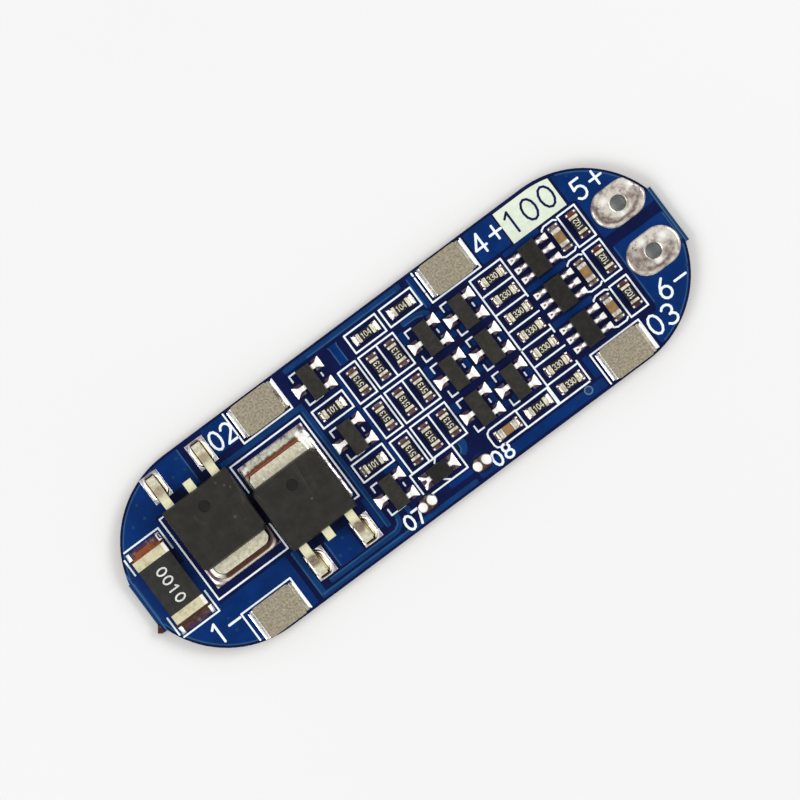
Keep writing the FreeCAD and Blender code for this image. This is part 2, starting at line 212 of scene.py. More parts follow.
def add_block(x, y, z, length, depth, height, turn=0.0):
    """In edit mode, block centred on x and y and standing on z."""
    bpy.ops.mesh.primitive_cube_add(
        size=1, location=at(x, y, z + height / 2), rotation=(0, 0, math.radians(turn)),
        scale=at(length, depth, height),
    )


def add_disc(x, y, z, radius, corners=24):
    """In edit mode, flat disc facing up."""
    bpy.ops.mesh.primitive_circle_add(
        vertices=corners, radius=radius * MM, fill_type="NGON", location=at(x, y, z),
    )


def soften(width, segments, test=None):
    """In edit mode, round the edges that pass a test."""
    if test is None:
        bpy.ops.mesh.select_all(action="SELECT")
    else:
        pick("EDGE", test)
    bpy.ops.mesh.bevel(offset=width * MM, affect="EDGES", segments=segments, clamp_overlap=True)


def face_outward():
    """In edit mode, turn every face outward."""
    bpy.ops.mesh.select_all(action="SELECT")
    bpy.ops.mesh.normals_make_consistent(inside=False)


def smooth(piece, angle=40):
    select([piece])
    bpy.ops.object.shade_smooth_by_angle(angle=math.radians(angle))
    return piece


def paint(piece, materials, chosen=None):
    """Give a piece its materials; chosen(place, normal) names the one for each face."""
    piece.data.materials.clear()
    for material in materials:
        piece.data.materials.append(material)
    for face in piece.data.polygons:
        face.material_index = chosen(face.center / MM, face.normal) if chosen else 0
    return piece


def copied(piece, x, y, turn):
    """Copy of a piece with its own mesh, turned and moved."""
    select([piece])
    bpy.ops.object.duplicate()
    copy = bpy.context.object
    copy.location = at(x, y)
    copy.rotation_euler.z = math.radians(turn)
    bpy.ops.object.transform_apply(location=True, rotation=True, scale=True)
    return copy


def laid_out(piece, places):
    """Copies of a piece at (x, y, turn) places, joined into one."""
    copies = [copied(piece, *place) for place in places]
    name = piece.name
    bpy.data.objects.remove(piece)
    select(copies)
    if len(copies) > 1:
        bpy.ops.object.join()
    bpy.context.object.name = name
    return bpy.context.object


def hand_over(piece, slot, *replaced):
    """Tie a finished piece to the board and hide the CAD nodes it stands for."""
    deselect()
    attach(piece, "root")
    if replaced:
        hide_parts(*replaced)


def finish_nodes(names, material):
    """Give CAD nodes their finish."""
    for name in names:
        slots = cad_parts[name].data.materials
        slots.clear()
        slots.append(material)


# Shader nodes and groups

WHITE, BLACK = (1.0, 1.0, 1.0, 1.0), (0.0, 0.0, 0.0, 1.0)
ORIGIN = (0.0, 0.0, 0.0)
GROUPS = {}


def node(tree, kind, links=None, **values):
    """Node with its properties set and its inputs filled or linked."""
    made = tree.nodes.new(kind)
    for key, value in values.items():
        setattr(made, key, value)
    for key, value in (links or {}).items():
        if isinstance(value, bpy.types.NodeSocket):
            tree.links.new(value, made.inputs[key])
        else:
            made.inputs[key].default_value = value
    return made


def maths(tree, operation, first, second=0.0):
    return node(tree, "ShaderNodeMath", {0: first, 1: second}, operation=operation).outputs[0]


def apart(tree, first, second):
    """How far two values lie apart."""
    return maths(tree, "ABSOLUTE", maths(tree, "SUBTRACT", first, second))


def vectors(tree, operation, first, second=ORIGIN):
    made = node(tree, "ShaderNodeVectorMath", {0: first, 1: second}, operation=operation)
    return made.outputs["Value" if operation in ("LENGTH", "DISTANCE") else "Vector"]


def object_place(tree):
    return node(tree, "ShaderNodeTexCoord").outputs["Object"]


def split(tree, vector):
    return node(tree, "ShaderNodeSeparateXYZ", {0: vector}).outputs


def ramp(tree, value, low, high, to_low=0.0, to_high=1.0):
    """Value spread from one range to another, and held at its ends."""
    links = {"Value": value, "From Min": low, "From Max": high, "To Min": to_low, "To Max": to_high}
    return node(tree, "ShaderNodeMapRange", links).outputs["Result"]


def blend(tree, factor, first, second):
    return node(tree, "ShaderNodeMix", {0: factor, 6: first, 7: second}, data_type="RGBA").outputs[2]


def noise_at(tree, scale, detail, place=None, **inputs):
    """Noise by the place on the object, or by a place worked out from it."""
    links = {"Vector": object_place(tree) if place is None else place, "Scale": scale, "Detail": detail}
    return node(tree, "ShaderNodeTexNoise", {**links, **inputs}).outputs["Fac"]


def shader_group(name, inputs, outputs):
    """Node group and its inputs; a socket of four numbers is a colour, of three a vector."""
    tree = bpy.data.node_groups.new(name, "ShaderNodeTree")
    for side, sockets in (("INPUT", inputs), ("OUTPUT", outputs)):
        for label, value in sockets.items():
            kind = "Float" if isinstance(value, float) else "Color" if len(value) == 4 else "Vector"
            socket = tree.interface.new_socket(name=label, in_out=side, socket_type="NodeSocket" + kind)
            socket.default_value = value
    return tree, node(tree, "NodeGroupInput").outputs


def mottle_group():
    """Two tones in soft patches."""
    tree, given = shader_group(
        "Mottled tone", {"Colour": WHITE, "Second colour": WHITE, "Scale": 900.0, "Low": 0.4, "High": 0.62},
        {"Colour": WHITE},
    )
    noise = noise_at(tree, given["Scale"], 4.0, Roughness=0.6)
    factor = ramp(tree, noise, given["Low"], given["High"])
    mixed = blend(tree, factor, given["Colour"], given["Second colour"])
    node(tree, "NodeGroupOutput", {"Colour": mixed})
    return tree


def grain_group():
    """Fine grain, for roughness and for the height of a bump."""
    tree, given = shader_group(
        "Fine grain", {"Scale": 6000.0, "Low roughness": 0.3, "High roughness": 0.5},
        {"Roughness": 0.5, "Height": 0.0},
    )
    noise = noise_at(tree, given["Scale"], 3.0)
    rough = ramp(tree, noise, 0.3, 0.7, given["Low roughness"], given["High roughness"])
    node(tree, "NodeGroupOutput", {"Roughness": rough, "Height": noise})
    return tree


def slope_group():
    """A second tone where the surface slopes."""
    tree, given = shader_group(
        "Tone on slopes", {"Colour": WHITE, "Slope colour": WHITE, "Level": 0.985, "Slope": 0.8},
        {"Colour": WHITE},
    )
    up = split(tree, node(tree, "ShaderNodeNewGeometry").outputs["Normal"])["Z"]
    factor = ramp(tree, up, given["Level"], given["Slope"])
    mixed = blend(tree, factor, given["Colour"], given["Slope colour"])
    node(tree, "NodeGroupOutput", {"Colour": mixed})
    return tree


def scratch_group():
    """Scattered fine scratches and rubbed specks."""
    tree, given = shader_group(
        "Scratches", {"Colour": WHITE, "Scratch colour": WHITE, "Scale": 500.0, "Amount": 0.03},
        {"Colour": WHITE},
    )
    place = object_place(tree)
    links = {"Vector": place, "Rotation": (0, 0, 0.25), "Scale": (1, 0.12, 1)}
    drawn = node(tree, "ShaderNodeMapping", links).outputs["Vector"]
    off = apart(tree, noise_at(tree, given["Scale"], 2.0, drawn, Distortion=0.4), 0.5)
    line = ramp(tree, off, 0.0, given["Amount"], 1.0, 0.0)
    factor = maths(tree, "MULTIPLY", line, ramp(tree, noise_at(tree, 260.0, 3.0, place), 0.53, 0.66))
    mixed = blend(tree, factor, given["Colour"], given["Scratch colour"])
    node(tree, "NodeGroupOutput", {"Colour": mixed})
    return tree


def outline_group():
    """Distance outside a rounded outline on the board, and how far it is measured past the outline's end."""
    tree, given = shader_group(
        "Distance from outline",
        {"Centre": ORIGIN, "Apart": 0.0, "Straight": ORIGIN, "Radius": 0.0003, "Waver": 0.0},
        {"Distance": 0.0, "End": 0.0},
    )
    place = object_place(tree)
    off = split(tree, vectors(tree, "ABSOLUTE", vectors(tree, "SUBTRACT", place, given["Centre"])))
    links = {"X": apart(tree, off["X"], given["Apart"]), "Y": off["Y"]}
    folded = node(tree, "ShaderNodeCombineXYZ", links).outputs["Vector"]
    past = vectors(tree, "SUBTRACT", folded, given["Straight"])
    past = vectors(tree, "MAXIMUM", vectors(tree, "MULTIPLY", past, (1, 1, 0)))
    far = maths(tree, "SUBTRACT", vectors(tree, "LENGTH", past), given["Radius"])
    uneven = maths(tree, "SUBTRACT", noise_at(tree, 2400.0, 2.0, place), 0.5)
    uneven = maths(tree, "MULTIPLY", uneven, given["Waver"])
    sides = split(tree, past)
    both = maths(tree, "ADD", sides["X"], maths(tree, "ADD", sides["Y"], 1e-7))
    node(tree, "NodeGroupOutput", {"Distance": maths(tree, "ADD", far, uneven),
                                   "End": maths(tree, "DIVIDE", sides["Y"], both)})
    return tree


def placed_group(tree, build, links):
    """Outputs of one of the shared groups, placed in a material with its own values."""
    if build not in GROUPS:
        GROUPS[build] = build()
    return node(tree, "ShaderNodeGroup", links, node_tree=GROUPS[build]).outputs


# Materials

MASK_SPECULAR, DULL_SPECULAR, INK_SPECULAR = 0.06, 0.08, 0.3


def shaded(colour, factor):
    """Lighter or darker version of a colour."""
    return tuple(min(1.0, part * factor) for part in colour[:3]) + (1.0,)


def new_material(name):
    material = bpy.data.materials.new(name)
    material.use_nodes = True
    material.node_tree.nodes.clear()
    return material, material.node_tree


def finish_surface(tree, colour, grain, roughness, relief, specular=None):
    """Shader with colour, grained roughness and bump: a metal unless it is given a specular level."""
    low, high = roughness
    made = placed_group(tree, grain_group, {"Scale": grain, "Low roughness": low, "High roughness": high})
    bump = node(tree, "ShaderNodeBump", {"Height": made["Height"], "Strength": 0.5, "Distance": relief * MM})
    links = {"Base Color": colour, "Roughness": made["Roughness"], "Normal": bump.outputs["Normal"]}
    links.update({"Metallic": 1.0} if specular is None else {"Specular IOR Level": specular})
    shader = node(tree, "ShaderNodeBsdfPrincipled", links)
    node(tree, "ShaderNodeOutputMaterial", {0: shader.outputs[0]})
    return shader


def mottled(tree, colour, second, patches, low=0.4, high=0.62):
    links = {"Colour": colour, "Second colour": second, "Scale": patches, "Low": low, "High": high}
    return placed_group(tree, mottle_group, links)["Colour"]


def stained(tree, colour, share, patches, low, high, stain=BLACK):
    """Colour with patches where it is partly covered by a stain."""
    return mottled(tree, colour, blend(tree, share, colour, stain), patches, low, high)


def sloped(tree, colour, slope_colour, level, slope):
    links = {"Colour": colour, "Slope colour": slope_colour, "Level": level, "Slope": slope}
    return placed_group(tree, slope_group, links)["Colour"]


def surface(name, colour, second, patches, roughness, relief=0.01, low=0.4, high=0.62, grain=5000.0,
            specular=None):
    """Material of two mottled tones, a metal unless it is given a specular level."""
    material, tree = new_material(name)
    colour = mottled(tree, colour, second, patches, low, high)
    finish_surface(tree, colour, grain, roughness, relief, specular)
    return material


def dull_part(name, colour, second, patches, roughness, relief=0.01):
    return surface(name, colour, second, patches, roughness, relief, grain=8000.0, specular=DULL_SPECULAR)


def spot(tree, x, y, half, soft, radius=0.0):
    """Mask of a disc round a place on the board, or of a ring when it has a radius, in millimetres."""
    far = vectors(tree, "DISTANCE", vectors(tree, "MULTIPLY", object_place(tree), (1, 1, 0)), at(x, y))
    return ramp(tree, apart(tree, far, radius * MM), (half + soft) * MM, (half - soft) * MM)


def spots(tree, places):
    """Several spots as one mask."""
    mask = 0.0
    for place in places:
        mask = maths(tree, "MAXIMUM", mask, spot(tree, *place))
    return mask


def around(middle, marks):
    """Places, with what else is said of each, given from the middle of a part."""
    return [(middle[0] + x, middle[1] + y, *rest) for x, y, *rest in marks]


def touched(tree, colour, places, laid_on, strength=1.0):
    """Colour with another one laid over it in spots."""
    return blend(tree, maths(tree, "MULTIPLY", spots(tree, places), strength), colour, laid_on)


def banded(tree, distance, bands):
    """Colour by distance: bands give where each tone ends, in millimetres, and the tone."""
    low, high, soft = -0.2, 1.6, 0.02
    steps = node(tree, "ShaderNodeValToRGB", {0: ramp(tree, distance, low * MM, high * MM)})
    marks = [(low, bands[0][1])]
    for (end, colour), (_, after) in zip(bands, bands[1:]):
        marks += [(end - soft, colour), (end + soft, after)]
    elements = steps.color_ramp.elements
    while len(elements) < len(marks):
        elements.new(1.0)
    for element, (place, colour) in zip(elements, marks):
        element.position = (place - low) / (high - low)
        element.color = tone(*colour)
    return steps.outputs["Color"]


def x_share(tree, first, last):
    """How far along the board a point lies between two places."""
    return ramp(tree, split(tree, object_place(tree))["X"], first * MM, last * MM)


def wetted(tree, outline, left, right, end):
    """Solder tones by distance from the metal, left and right of it and past its end: painted highlight and
    shade.
    """
    left_edge, right_edge, foot, tip, radius, apart_by, waver = outline
    middle, half = (left_edge + right_edge) / 2, (right_edge - left_edge) / 2 - apart_by
    links = {"Centre": at(middle, (foot + tip) / 2), "Apart": apart_by * MM, "Radius": radius * MM,
             "Straight": at(half - radius, abs(tip - foot) / 2 - radius), "Waver": waver * MM}
    made = placed_group(tree, outline_group, links)
    far, past = made["Distance"], made["End"]
    side = banded(tree, far, left)
    if right != left:
        side = blend(tree, x_share(tree, middle - 0.5, middle + 0.5), side, banded(tree, far, right))
    return blend(tree, ramp(tree, past, 0.4, 0.75), side, banded(tree, far, end)), far


def foot_finish(name, centre, radius, *light_bands):
    """Solder in bands of painted highlight and shade by its distance from a pair of leads, inside an oval
    round each; land outside.
    """
    material, tree = new_material(name)
    painted_light, _ = wetted(tree, *light_bands)
    links = {"Centre": at(*centre), "Apart": PIN * MM, "Radius": radius * MM, "Straight": at(0, 0.42),
             "Waver": 0.04 * MM}
    far = placed_group(tree, outline_group, links)["Distance"]
    land = mottled(tree, tone(196, 194, 200), tone(112, 106, 118), 2000.0, 0.42, 0.66)
    painted_light = blend(tree, ramp(tree, far, -0.03 * MM, 0.03 * MM), painted_light, land)
    finish_surface(tree, stained(tree, painted_light, 0.3, 2400.0, 0.45, 0.75), 3000.0, (0.22, 0.4), 0.01)
    return material


FINISHES = {}


def finishes():
    """The materials that several pieces share, made once."""
    if FINISHES:
        return FINISHES
    bright, glint, cream, brown, burnt, flux, dull = [
        look("solder", key) for key in ("bright", "glint", "cream", "stained", "burnt", "flux", "dull")
    ]
    for key, *values in (
        # Painted highlight on solder
        ("glint", "wetted_solder", glint, shaded(bright, 0.9), 1900.0, (0.2, 0.4), 0.008, 0.55, 0.85),
        ("cream", "cream_solder", cream, shaded(cream, 0.72), 1700.0, (0.22, 0.4), 0.01, 0.5, 0.8),
        # Painted red-brown reflection in the hollow of a joint
        ("stained", "stained_solder", brown, burnt, 1900.0, (0.22, 0.42), 0.01, 0.44, 0.66),
        # Painted dark reflection and shade at the foot of a joint
        ("burnt", "burnt_flux", burnt, flux, 2600.0, (0.25, 0.45), 0.01, 0.5, 0.8),
        # Painted dim reflection and shade on a joint
        ("flux", "thin_flux", flux, shaded(bright, 0.62), 3000.0, (0.22, 0.42), 0.01, 0.42, 0.7),
        # Painted brown reflection in the hollows of the divider chips' joints
        ("stain", "flux_stain", tone(96, 66, 62), tone(132, 112, 112), 2600.0, (0.25, 0.45), 0.01, 0.42, 0.7),
        ("land", "bare_land", dull, shaded(bright, 0.36), 2200.0, (0.3, 0.5), 0.008, 0.5, 0.78),
        # Painted reddish reflection in the upper hollows of the filter chips' joints
        ("rust", "rusty_stain", tone(126, 68, 52), tone(92, 62, 56), 2600.0, (0.25, 0.45)),
        ("chip_end", "chip_end", shaded(cream, 0.8), shaded(cream, 0.42), 2800.0, (0.28, 0.5), 0.012,
         0.42, 0.68),
        ("tin", "chip_tin", shaded(bright, 0.98), shaded(bright, 0.55), 3200.0, (0.28, 0.5), 0.012),
    ):
        FINISHES[key] = surface(*values)
    return FINISHES


# Where the parts stand, in millimetres

def rows(middle, pitch, count):
    return [middle + ((count - 1) / 2 - i) * pitch for i in range(count)]


def centre(name):
    low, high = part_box(name)
    return (low + high) / 2 / MM


def places_of(names, turn=0):
    return [(centre(name).x, centre(name).y, turn) for name in names]


def numbered(stem, first, last, form="{:d}"):
    return [stem + form.format(i) for i in range(first, last + 1)]


SHUNT = centre("shunt_body")
CHARGE = centre("charge_switch_body")
DISCHARGE = centre("discharge_switch_body")
OUTPUTS = ["positive_output_pad", "negative_output_pad"]
TABS = ["cell_tab_minus", "cell_tab_1", "cell_tab_2", "cell_tab_plus"]
DRIVERS = numbered("driver_transistor_", 1, 3)
CHANNELS = numbered("channel_transistor_", 1, 6)
GUARDS = numbered("protection_circuit_", 1, 3, "{:d}_body")
SENSE_PADS = ["sense_pad_1", "sense_pad_2"]
RESISTORS = numbered("resistor_", 1, 24, "{:02d}")
CAPACITORS = numbered("capacitor_", 1, 4)
BOARD_TOP = 1.0
LAND_TOP = 1.05
# How far copper and lands reach into the board, and the height of a land from there
SUNK = 0.01
LAND_HEIGHT = 0.06

# Middles of the rounded ends of the board, and the radius of the copper there
END, END_RADIUS = 18, 8.4
# Outer leads of a power transistor across its middle, and their feet along it
PIN, FOOT = 2.286, 4.95
# Leads of the small packages across their middle
SMALL_PINS, ALL_SMALL_PINS = (-0.95, 0.95), (-0.95, 0, 0.95)
CHIP_LENGTH, CHIP_DEPTH = 1.6, 0.8
# Where the solder begins, from the middle of the part, and how far out it runs
CHIP_TOE, CHIP_OUT = 0.78, 0.44
SHUNT_TOE, SHUNT_OUT = 3.03, 0.92


# Outlines

def arc_points(x, y, radius, first, last, count):
    """Points of an arc, angles in degrees."""
    angles = [math.radians(first + (last - first) * i / count) for i in range(count + 1)]
    return [(x + radius * math.cos(angle), y + radius * math.sin(angle)) for angle in angles]


def softened(loop, radius=0.25):
    """Closed outline with its corners drawn round."""
    points = []
    for before, corner, after in zip(loop[-1:] + loop[:-1], loop, loop[1:] + loop[:1]):
        sides = []
        for other in (before, after):
            length = math.dist(corner, other)
            share = min(radius, length * 0.4) / length
            sides.append([c + (o - c) * share for c, o in zip(corner, other)])
        middle = [(a + b + 2 * c) / 4 for a, b, c in zip(sides[0], sides[1], corner)]
        points += [tuple(sides[0]), tuple(middle), tuple(sides[1])]
    return points


def rectangle(left, bottom, right, top):
    return [(left, bottom), (right, bottom), (right, top), (left, top)]


def band(points, width):
    """Closed outline of a track along a path."""
    near, far = [], []
    headings = [math.atan2(b[1] - a[1], b[0] - a[0]) for a, b in zip(points, points[1:])]
    for (x, y), first, second in zip(points, headings[:1] + headings, headings + headings[-1:]):
        turn = (first + second) / 2
        half = width / 2 / math.cos((second - first) / 2)
        near.append((x - half * math.sin(turn), y + half * math.cos(turn)))
        far.append((x + half * math.sin(turn), y - half * math.cos(turn)))
    return far + near[::-1]


def flat_piece(name, loops, bottom, height, rounding):
    """Plate with the shape of closed outlines, one inside another being a hole."""
    deselect()
    curve = bpy.data.curves.new(name, "CURVE")
    curve.dimensions = "2D"
    curve.fill_mode = "BOTH"
    curve.extrude = (height - rounding) / 2 * MM
    curve.bevel_depth = rounding / 2 * MM
    curve.bevel_resolution = 1
    curve.offset = -rounding / 2 * MM
    for loop in loops:
        spline = curve.splines.new("POLY")
        spline.points.add(len(loop) - 1)
        spline.use_cyclic_u = True
        for point, (x, y) in zip(spline.points, loop):
            point.co = (x * MM, y * MM, 0, 1)
    piece = bpy.data.objects.new(name, curve)
    bpy.context.scene.collection.objects.link(piece)
    select([piece])
    bpy.ops.object.convert(target="MESH")
    piece = bpy.context.object
    piece.location = at(0, 0, bottom + height / 2)
    bpy.ops.object.transform_apply(location=True, rotation=True, scale=True)
    edit(piece)
    bpy.ops.mesh.select_all(action="SELECT")
    bpy.ops.mesh.remove_doubles(threshold=1e-7)
    face_outward()
    deselect()
    return piece


# Figures drawn as strokes on a box one high and 0.66 wide

def figure(sign):
    def ring(x, y, rx, ry, first=0, last=360, count=12):
        return [(x + px * rx, y + py * ry) for px, py in arc_points(0, 0, 1, first, last, count)]

    shapes = {
        "0": [ring(0.33, 0.5, 0.33, 0.5)],
        "1": [[(0.12, 0.8), (0.36, 1.0), (0.36, 0.0)]],
        "2": [ring(0.33, 0.7, 0.31, 0.3, 160, -40, 8) + [(0.02, 0.0), (0.66, 0.0)]],
        "3": [ring(0.31, 0.75, 0.3, 0.25, 150, -85, 8) + ring(0.31, 0.26, 0.33, 0.26, 80, -150, 8)],
        "4": [[(0.5, 0.0), (0.5, 1.0), (0.0, 0.3), (0.68, 0.3)]],
        "5": [[(0.6, 1.0), (0.1, 1.0), (0.06, 0.58)] + ring(0.3, 0.33, 0.33, 0.33, 115, -145, 9)],
        "6": [[(0.5, 1.0), (0.2, 0.72), (0.02, 0.42)] + ring(0.33, 0.3, 0.31, 0.3, 160, -200, 12)],
        "7": [[(0.0, 1.0), (0.64, 1.0), (0.22, 0.0)]],
        "8": [ring(0.33, 0.75, 0.27, 0.25), ring(0.33, 0.26, 0.33, 0.26)],
        "+": [[(0.0, 0.5), (0.72, 0.5)], [(0.36, 0.86), (0.36, 0.14)]],
        "-": [[(0.0, 0.5), (0.72, 0.5)]],
    }
    return shapes[sign]


def lettering(text, x, y, height, step, width, turn=0):
    """Strokes of plain figures along a baseline that starts at x and y."""
    cosine, sine = math.cos(math.radians(turn)), math.sin(math.radians(turn))
    strokes = []
    for i, sign in enumerate(text):
        for path in figure(sign):
            points = []
            for u, v in path:
                along, up = i * step + u * width, v * height
                points.append((x + along * cosine - up * sine, y + along * sine + up * cosine))
            strokes += [a + b for a, b in zip(points, points[1:])]
    return strokes


def add_strokes(strokes, width, bottom, height, lift, cycle):
    """In edit mode, a block along each stroke, lifted by turns so that tops which cross never coincide."""
    for i, (x1, y1, x2, y2) in enumerate(strokes):
        add_block((x1 + x2) / 2, (y1 + y2) / 2, bottom, math.hypot(x2 - x1, y2 - y1) + width, width,
                  height + (i % cycle) * lift, math.degrees(math.atan2(y2 - y1, x2 - x1)))


def printed(name, strokes, width, bottom, top):
    """Ink lines with round ends: rectangles laid along the strokes, rounded and raised."""
    piece = start(name)
    add_strokes(strokes, width, bottom, top - bottom, lift=0.0006, cycle=7)
    soften(width * 0.36, 2, lambda place, normal: abs(normal.z) > 0.9 * normal.length)
    deselect()
    return piece


# Solder shapes

def close_below(level):
    """In edit mode, carry a sheet's rim down to a level and close it."""
    bpy.ops.mesh.select_all(action="SELECT")
    bpy.ops.mesh.region_to_loop()
    bpy.ops.mesh.extrude_edges_move(TRANSFORM_OT_translate={"value": (0, 0, 0)})
    bpy.ops.transform.resize(value=(1, 1, 0), center_override=at(0, 0, level))
    bpy.ops.mesh.edge_face_add()
    face_outward()


def ridge(name, stations, heights, width, columns):
    """Sheet of solder whose rows across Y stand at given places and heights along X."""
    piece = start(name)
    count = len(stations)
    bpy.ops.mesh.primitive_grid_add(
        x_subdivisions=count - 1, y_subdivisions=columns, size=MM, location=at((count - 1) * 5, 0, 0),
    )
    bpy.ops.transform.resize(value=((count - 1) * 10, width, 1), center_override=at((count - 1) * 5, 0, 0))
    for i, (station, height) in enumerate(zip(stations, heights)):
        pick("VERT", lambda place, normal: abs(place.x - 10 * i) < 1 and abs(place.z) < 0.001)
        shift(station - 10 * i, 0, height)
    return piece


def end_joint(name, toe, out, width, climb, ear):
    """Hollow solder beyond a chip end along +X, with a bead at each outer corner."""
    shares = (0.0, 0.12, 0.28, 0.46, 0.64, 0.82, 1.0)
    stations = [toe + out * share for share in shares]
    heights = [LAND_TOP + 0.01 + climb * (1 - share) ** 2.2 for share in shares]
    piece = ridge(name, stations, heights, width, columns=10)
    for low, high, side, lift in (
        (0.4, 0.9, 0.28, 0.35), (0.5, 0.86, 0.36, 0.65), (0.2, 0.5, 0.36, 0.35),
    ):
        pick("VERT", lambda place, normal: toe + out * low < place.x < toe + out * high
             and width * side < abs(place.y) < width * 0.46)
        shift(0, 0, ear * lift)
    pick("VERT", lambda place, normal: place.x > toe + out * 0.9 and abs(place.y) < width * 0.3)
    shift(0, 0, ear * 0.25)
    close_below(LAND_TOP - 0.02)
    return smooth(piece, 70)


def flare(place, normal):
    """Finish of a chip's joint that shines along two arms to its outer corners."""
    share = (place.x - CHIP_TOE) / CHIP_OUT
    arm = 0.1 + 0.34 * share
    if abs(abs(place.y) - arm) < 0.1 or share < 0.2 and abs(place.y) < 0.2:
        return 0
    return 1 if abs(place.y) < arm else 2


def beads(middle, taper=0.0, far=0.86):
    """Finish of a chip's joint with a tapering hollow, and a shining bead in each outer corner."""
    def chosen(place, normal):
        share = (place.x - CHIP_TOE) / CHIP_OUT
        if abs(place.y) < middle - taper * share and 0.02 < share < far:
            return 1
        return 0 if 0.42 < share < 0.9 and abs(place.y) > 0.3 else 2

    return chosen


def shunt_finish(place, normal):
    """Finish of a shunt joint: painted brown reflection in its hollow, and a bead with a painted highlight at
    each outer corner.
    """
    share = (place.x - SHUNT_TOE) / SHUNT_OUT
    if abs(place.y) > 1.36 and 0.25 < share < 0.94:
        return 0
    if share > 0.7:
        return 2
    return 1 if abs(place.y) < 1.2 - 0.2 * share else 3


def lead_mound(name, stations, widths, heights):
    """Solder that fans out from a lead to the far edge of its land, along +X."""
    piece = ridge(name, stations, [LAND_TOP + height for height in heights], width=1.0, columns=6)
    for station, width in zip(stations, widths):
        pick("VERT", lambda place, normal: abs(place.x - station) < 0.01)
        scale(1, width)
        pick("VERT", lambda place, normal: abs(place.x - station) < 0.01 and abs(place.y) > width * 0.45)
        shift(0, 0, -0.02)
    close_below(LAND_TOP - 0.02)
    return smooth(piece, 60)


def loops_piece(name, x, y, loops, corners=40, keep=None):
    """Stack of loops (radius, level, wide, deep, dx, dy), drawn apart by wide and deep and bridged."""
    piece = start(name)
    for radius, level, wide, deep, dx, dy in loops:
        middle = (x + dx, y + dy)
        bpy.ops.mesh.primitive_circle_add(
            vertices=corners, radius=radius * MM, fill_type="NOTHING", location=at(*middle, level),
        )
        for axis, reach in ((0, wide), (1, deep)):
            for side in (-1, 1) if reach else ():
                pick("VERT", lambda place, normal: abs(place.z - level) < 1e-5
                     and side * (place[axis] - middle[axis]) > -1e-4 * side
                     and abs(place[axis] - middle[axis]) < radius * 1.001)
                shift(*[side * reach if axis == along else 0 for along in range(3)])
    if keep:
        keep(piece)
    for first, second in zip(loops, loops[1:]):
        pick("EDGE", lambda place, normal: abs(normal.z) < 1e-9
             and min(abs(place.z - first[1]), abs(place.z - second[1])) < 1e-5)
        bpy.ops.mesh.bridge_edge_loops()
    return piece


def close_top(level):
    """In edit mode, fill the loop at a level and face everything outward."""
    pick("EDGE", lambda place, normal: abs(place.z - level) < 1e-4)
    bpy.ops.mesh.edge_face_add()
    face_outward()


# Pieces

class BMS_OT_stage(bpy.types.Operator):
    """Floor, soft light and the camera above the board"""
    bl_idname = "bms.stage"
    bl_label = "Stage"

    def execute(self, context):
        settings = page_settings("stage")
        scene = context.scene
        scene.view_settings.view_transform = "Standard"
        world = bpy.data.worlds.new("soft_surround")
        world.use_nodes = True
        tree = world.node_tree
        tree.nodes.clear()
        path = node(tree, "ShaderNodeLightPath").outputs
        seen = maths(tree, "MAXIMUM", path["Is Camera Ray"], path["Is Glossy Ray"])
        seen = maths(tree, "MAXIMUM", seen, path["Is Transmission Ray"])
        light = node(tree, "ShaderNodeBackground", {"Color": (1, 1, 1, 1), "Strength": settings.world_light})
        pale = node(tree, "ShaderNodeBackground", {"Color": (0.94, 0.94, 0.94, 1), "Strength": 1.0})
        mixed = node(tree, "ShaderNodeMixShader", {0: seen, 1: light.outputs[0], 2: pale.outputs[0]})
        node(tree, "ShaderNodeOutputWorld", {0: mixed.outputs[0]})
        scene.world = world

        deselect()
        floor_size, floor_drop = 2.4, 0.02
        bpy.ops.mesh.primitive_plane_add(size=floor_size, location=at(0, 0, -floor_drop))
        floor = bpy.context.object
        floor.name = "floor"
        pale_tone = look("stage", "floor")
        floor.data.materials.append(surface(
            "pale_floor", pale_tone, shaded(pale_tone, 0.99), 12.0, (0.7, 0.8), grain=300.0, specular=0.1,
        ))

        lamp_out, lamp_up, lamp_length, lamp_depth = 0.34, 0.32, 0.34, 0.22
        for name, side in (("lamp_right", 1), ("lamp_left", -1)):
            place = Vector((side * lamp_out, 0, lamp_up))
            bpy.ops.object.light_add(type="AREA", location=place)
            lamp = bpy.context.object
            lamp.name = name
            lamp.rotation_euler = (-place).to_track_quat("-Z", "Y").to_euler()
            lamp.data.shape = "RECTANGLE"
            lamp.data.size = lamp_length
            lamp.data.size_y = lamp_depth
            lamp.data.energy = settings.key_power

        camera_x, camera_y, camera_turn = 0.025, 0.777, -36.72
        bpy.ops.object.camera_add(
            location=(camera_x * MM, camera_y * MM, BOARD_TOP * MM + settings.distance),
            rotation=(0, 0, math.radians(camera_turn)),
        )
        camera = bpy.context.object
        camera.name = "camera"
        camera.data.lens = camera.data.sensor_width * settings.distance / settings.field
        camera.data.clip_start = 0.01
        scene.camera = camera
        return {"FINISHED"}


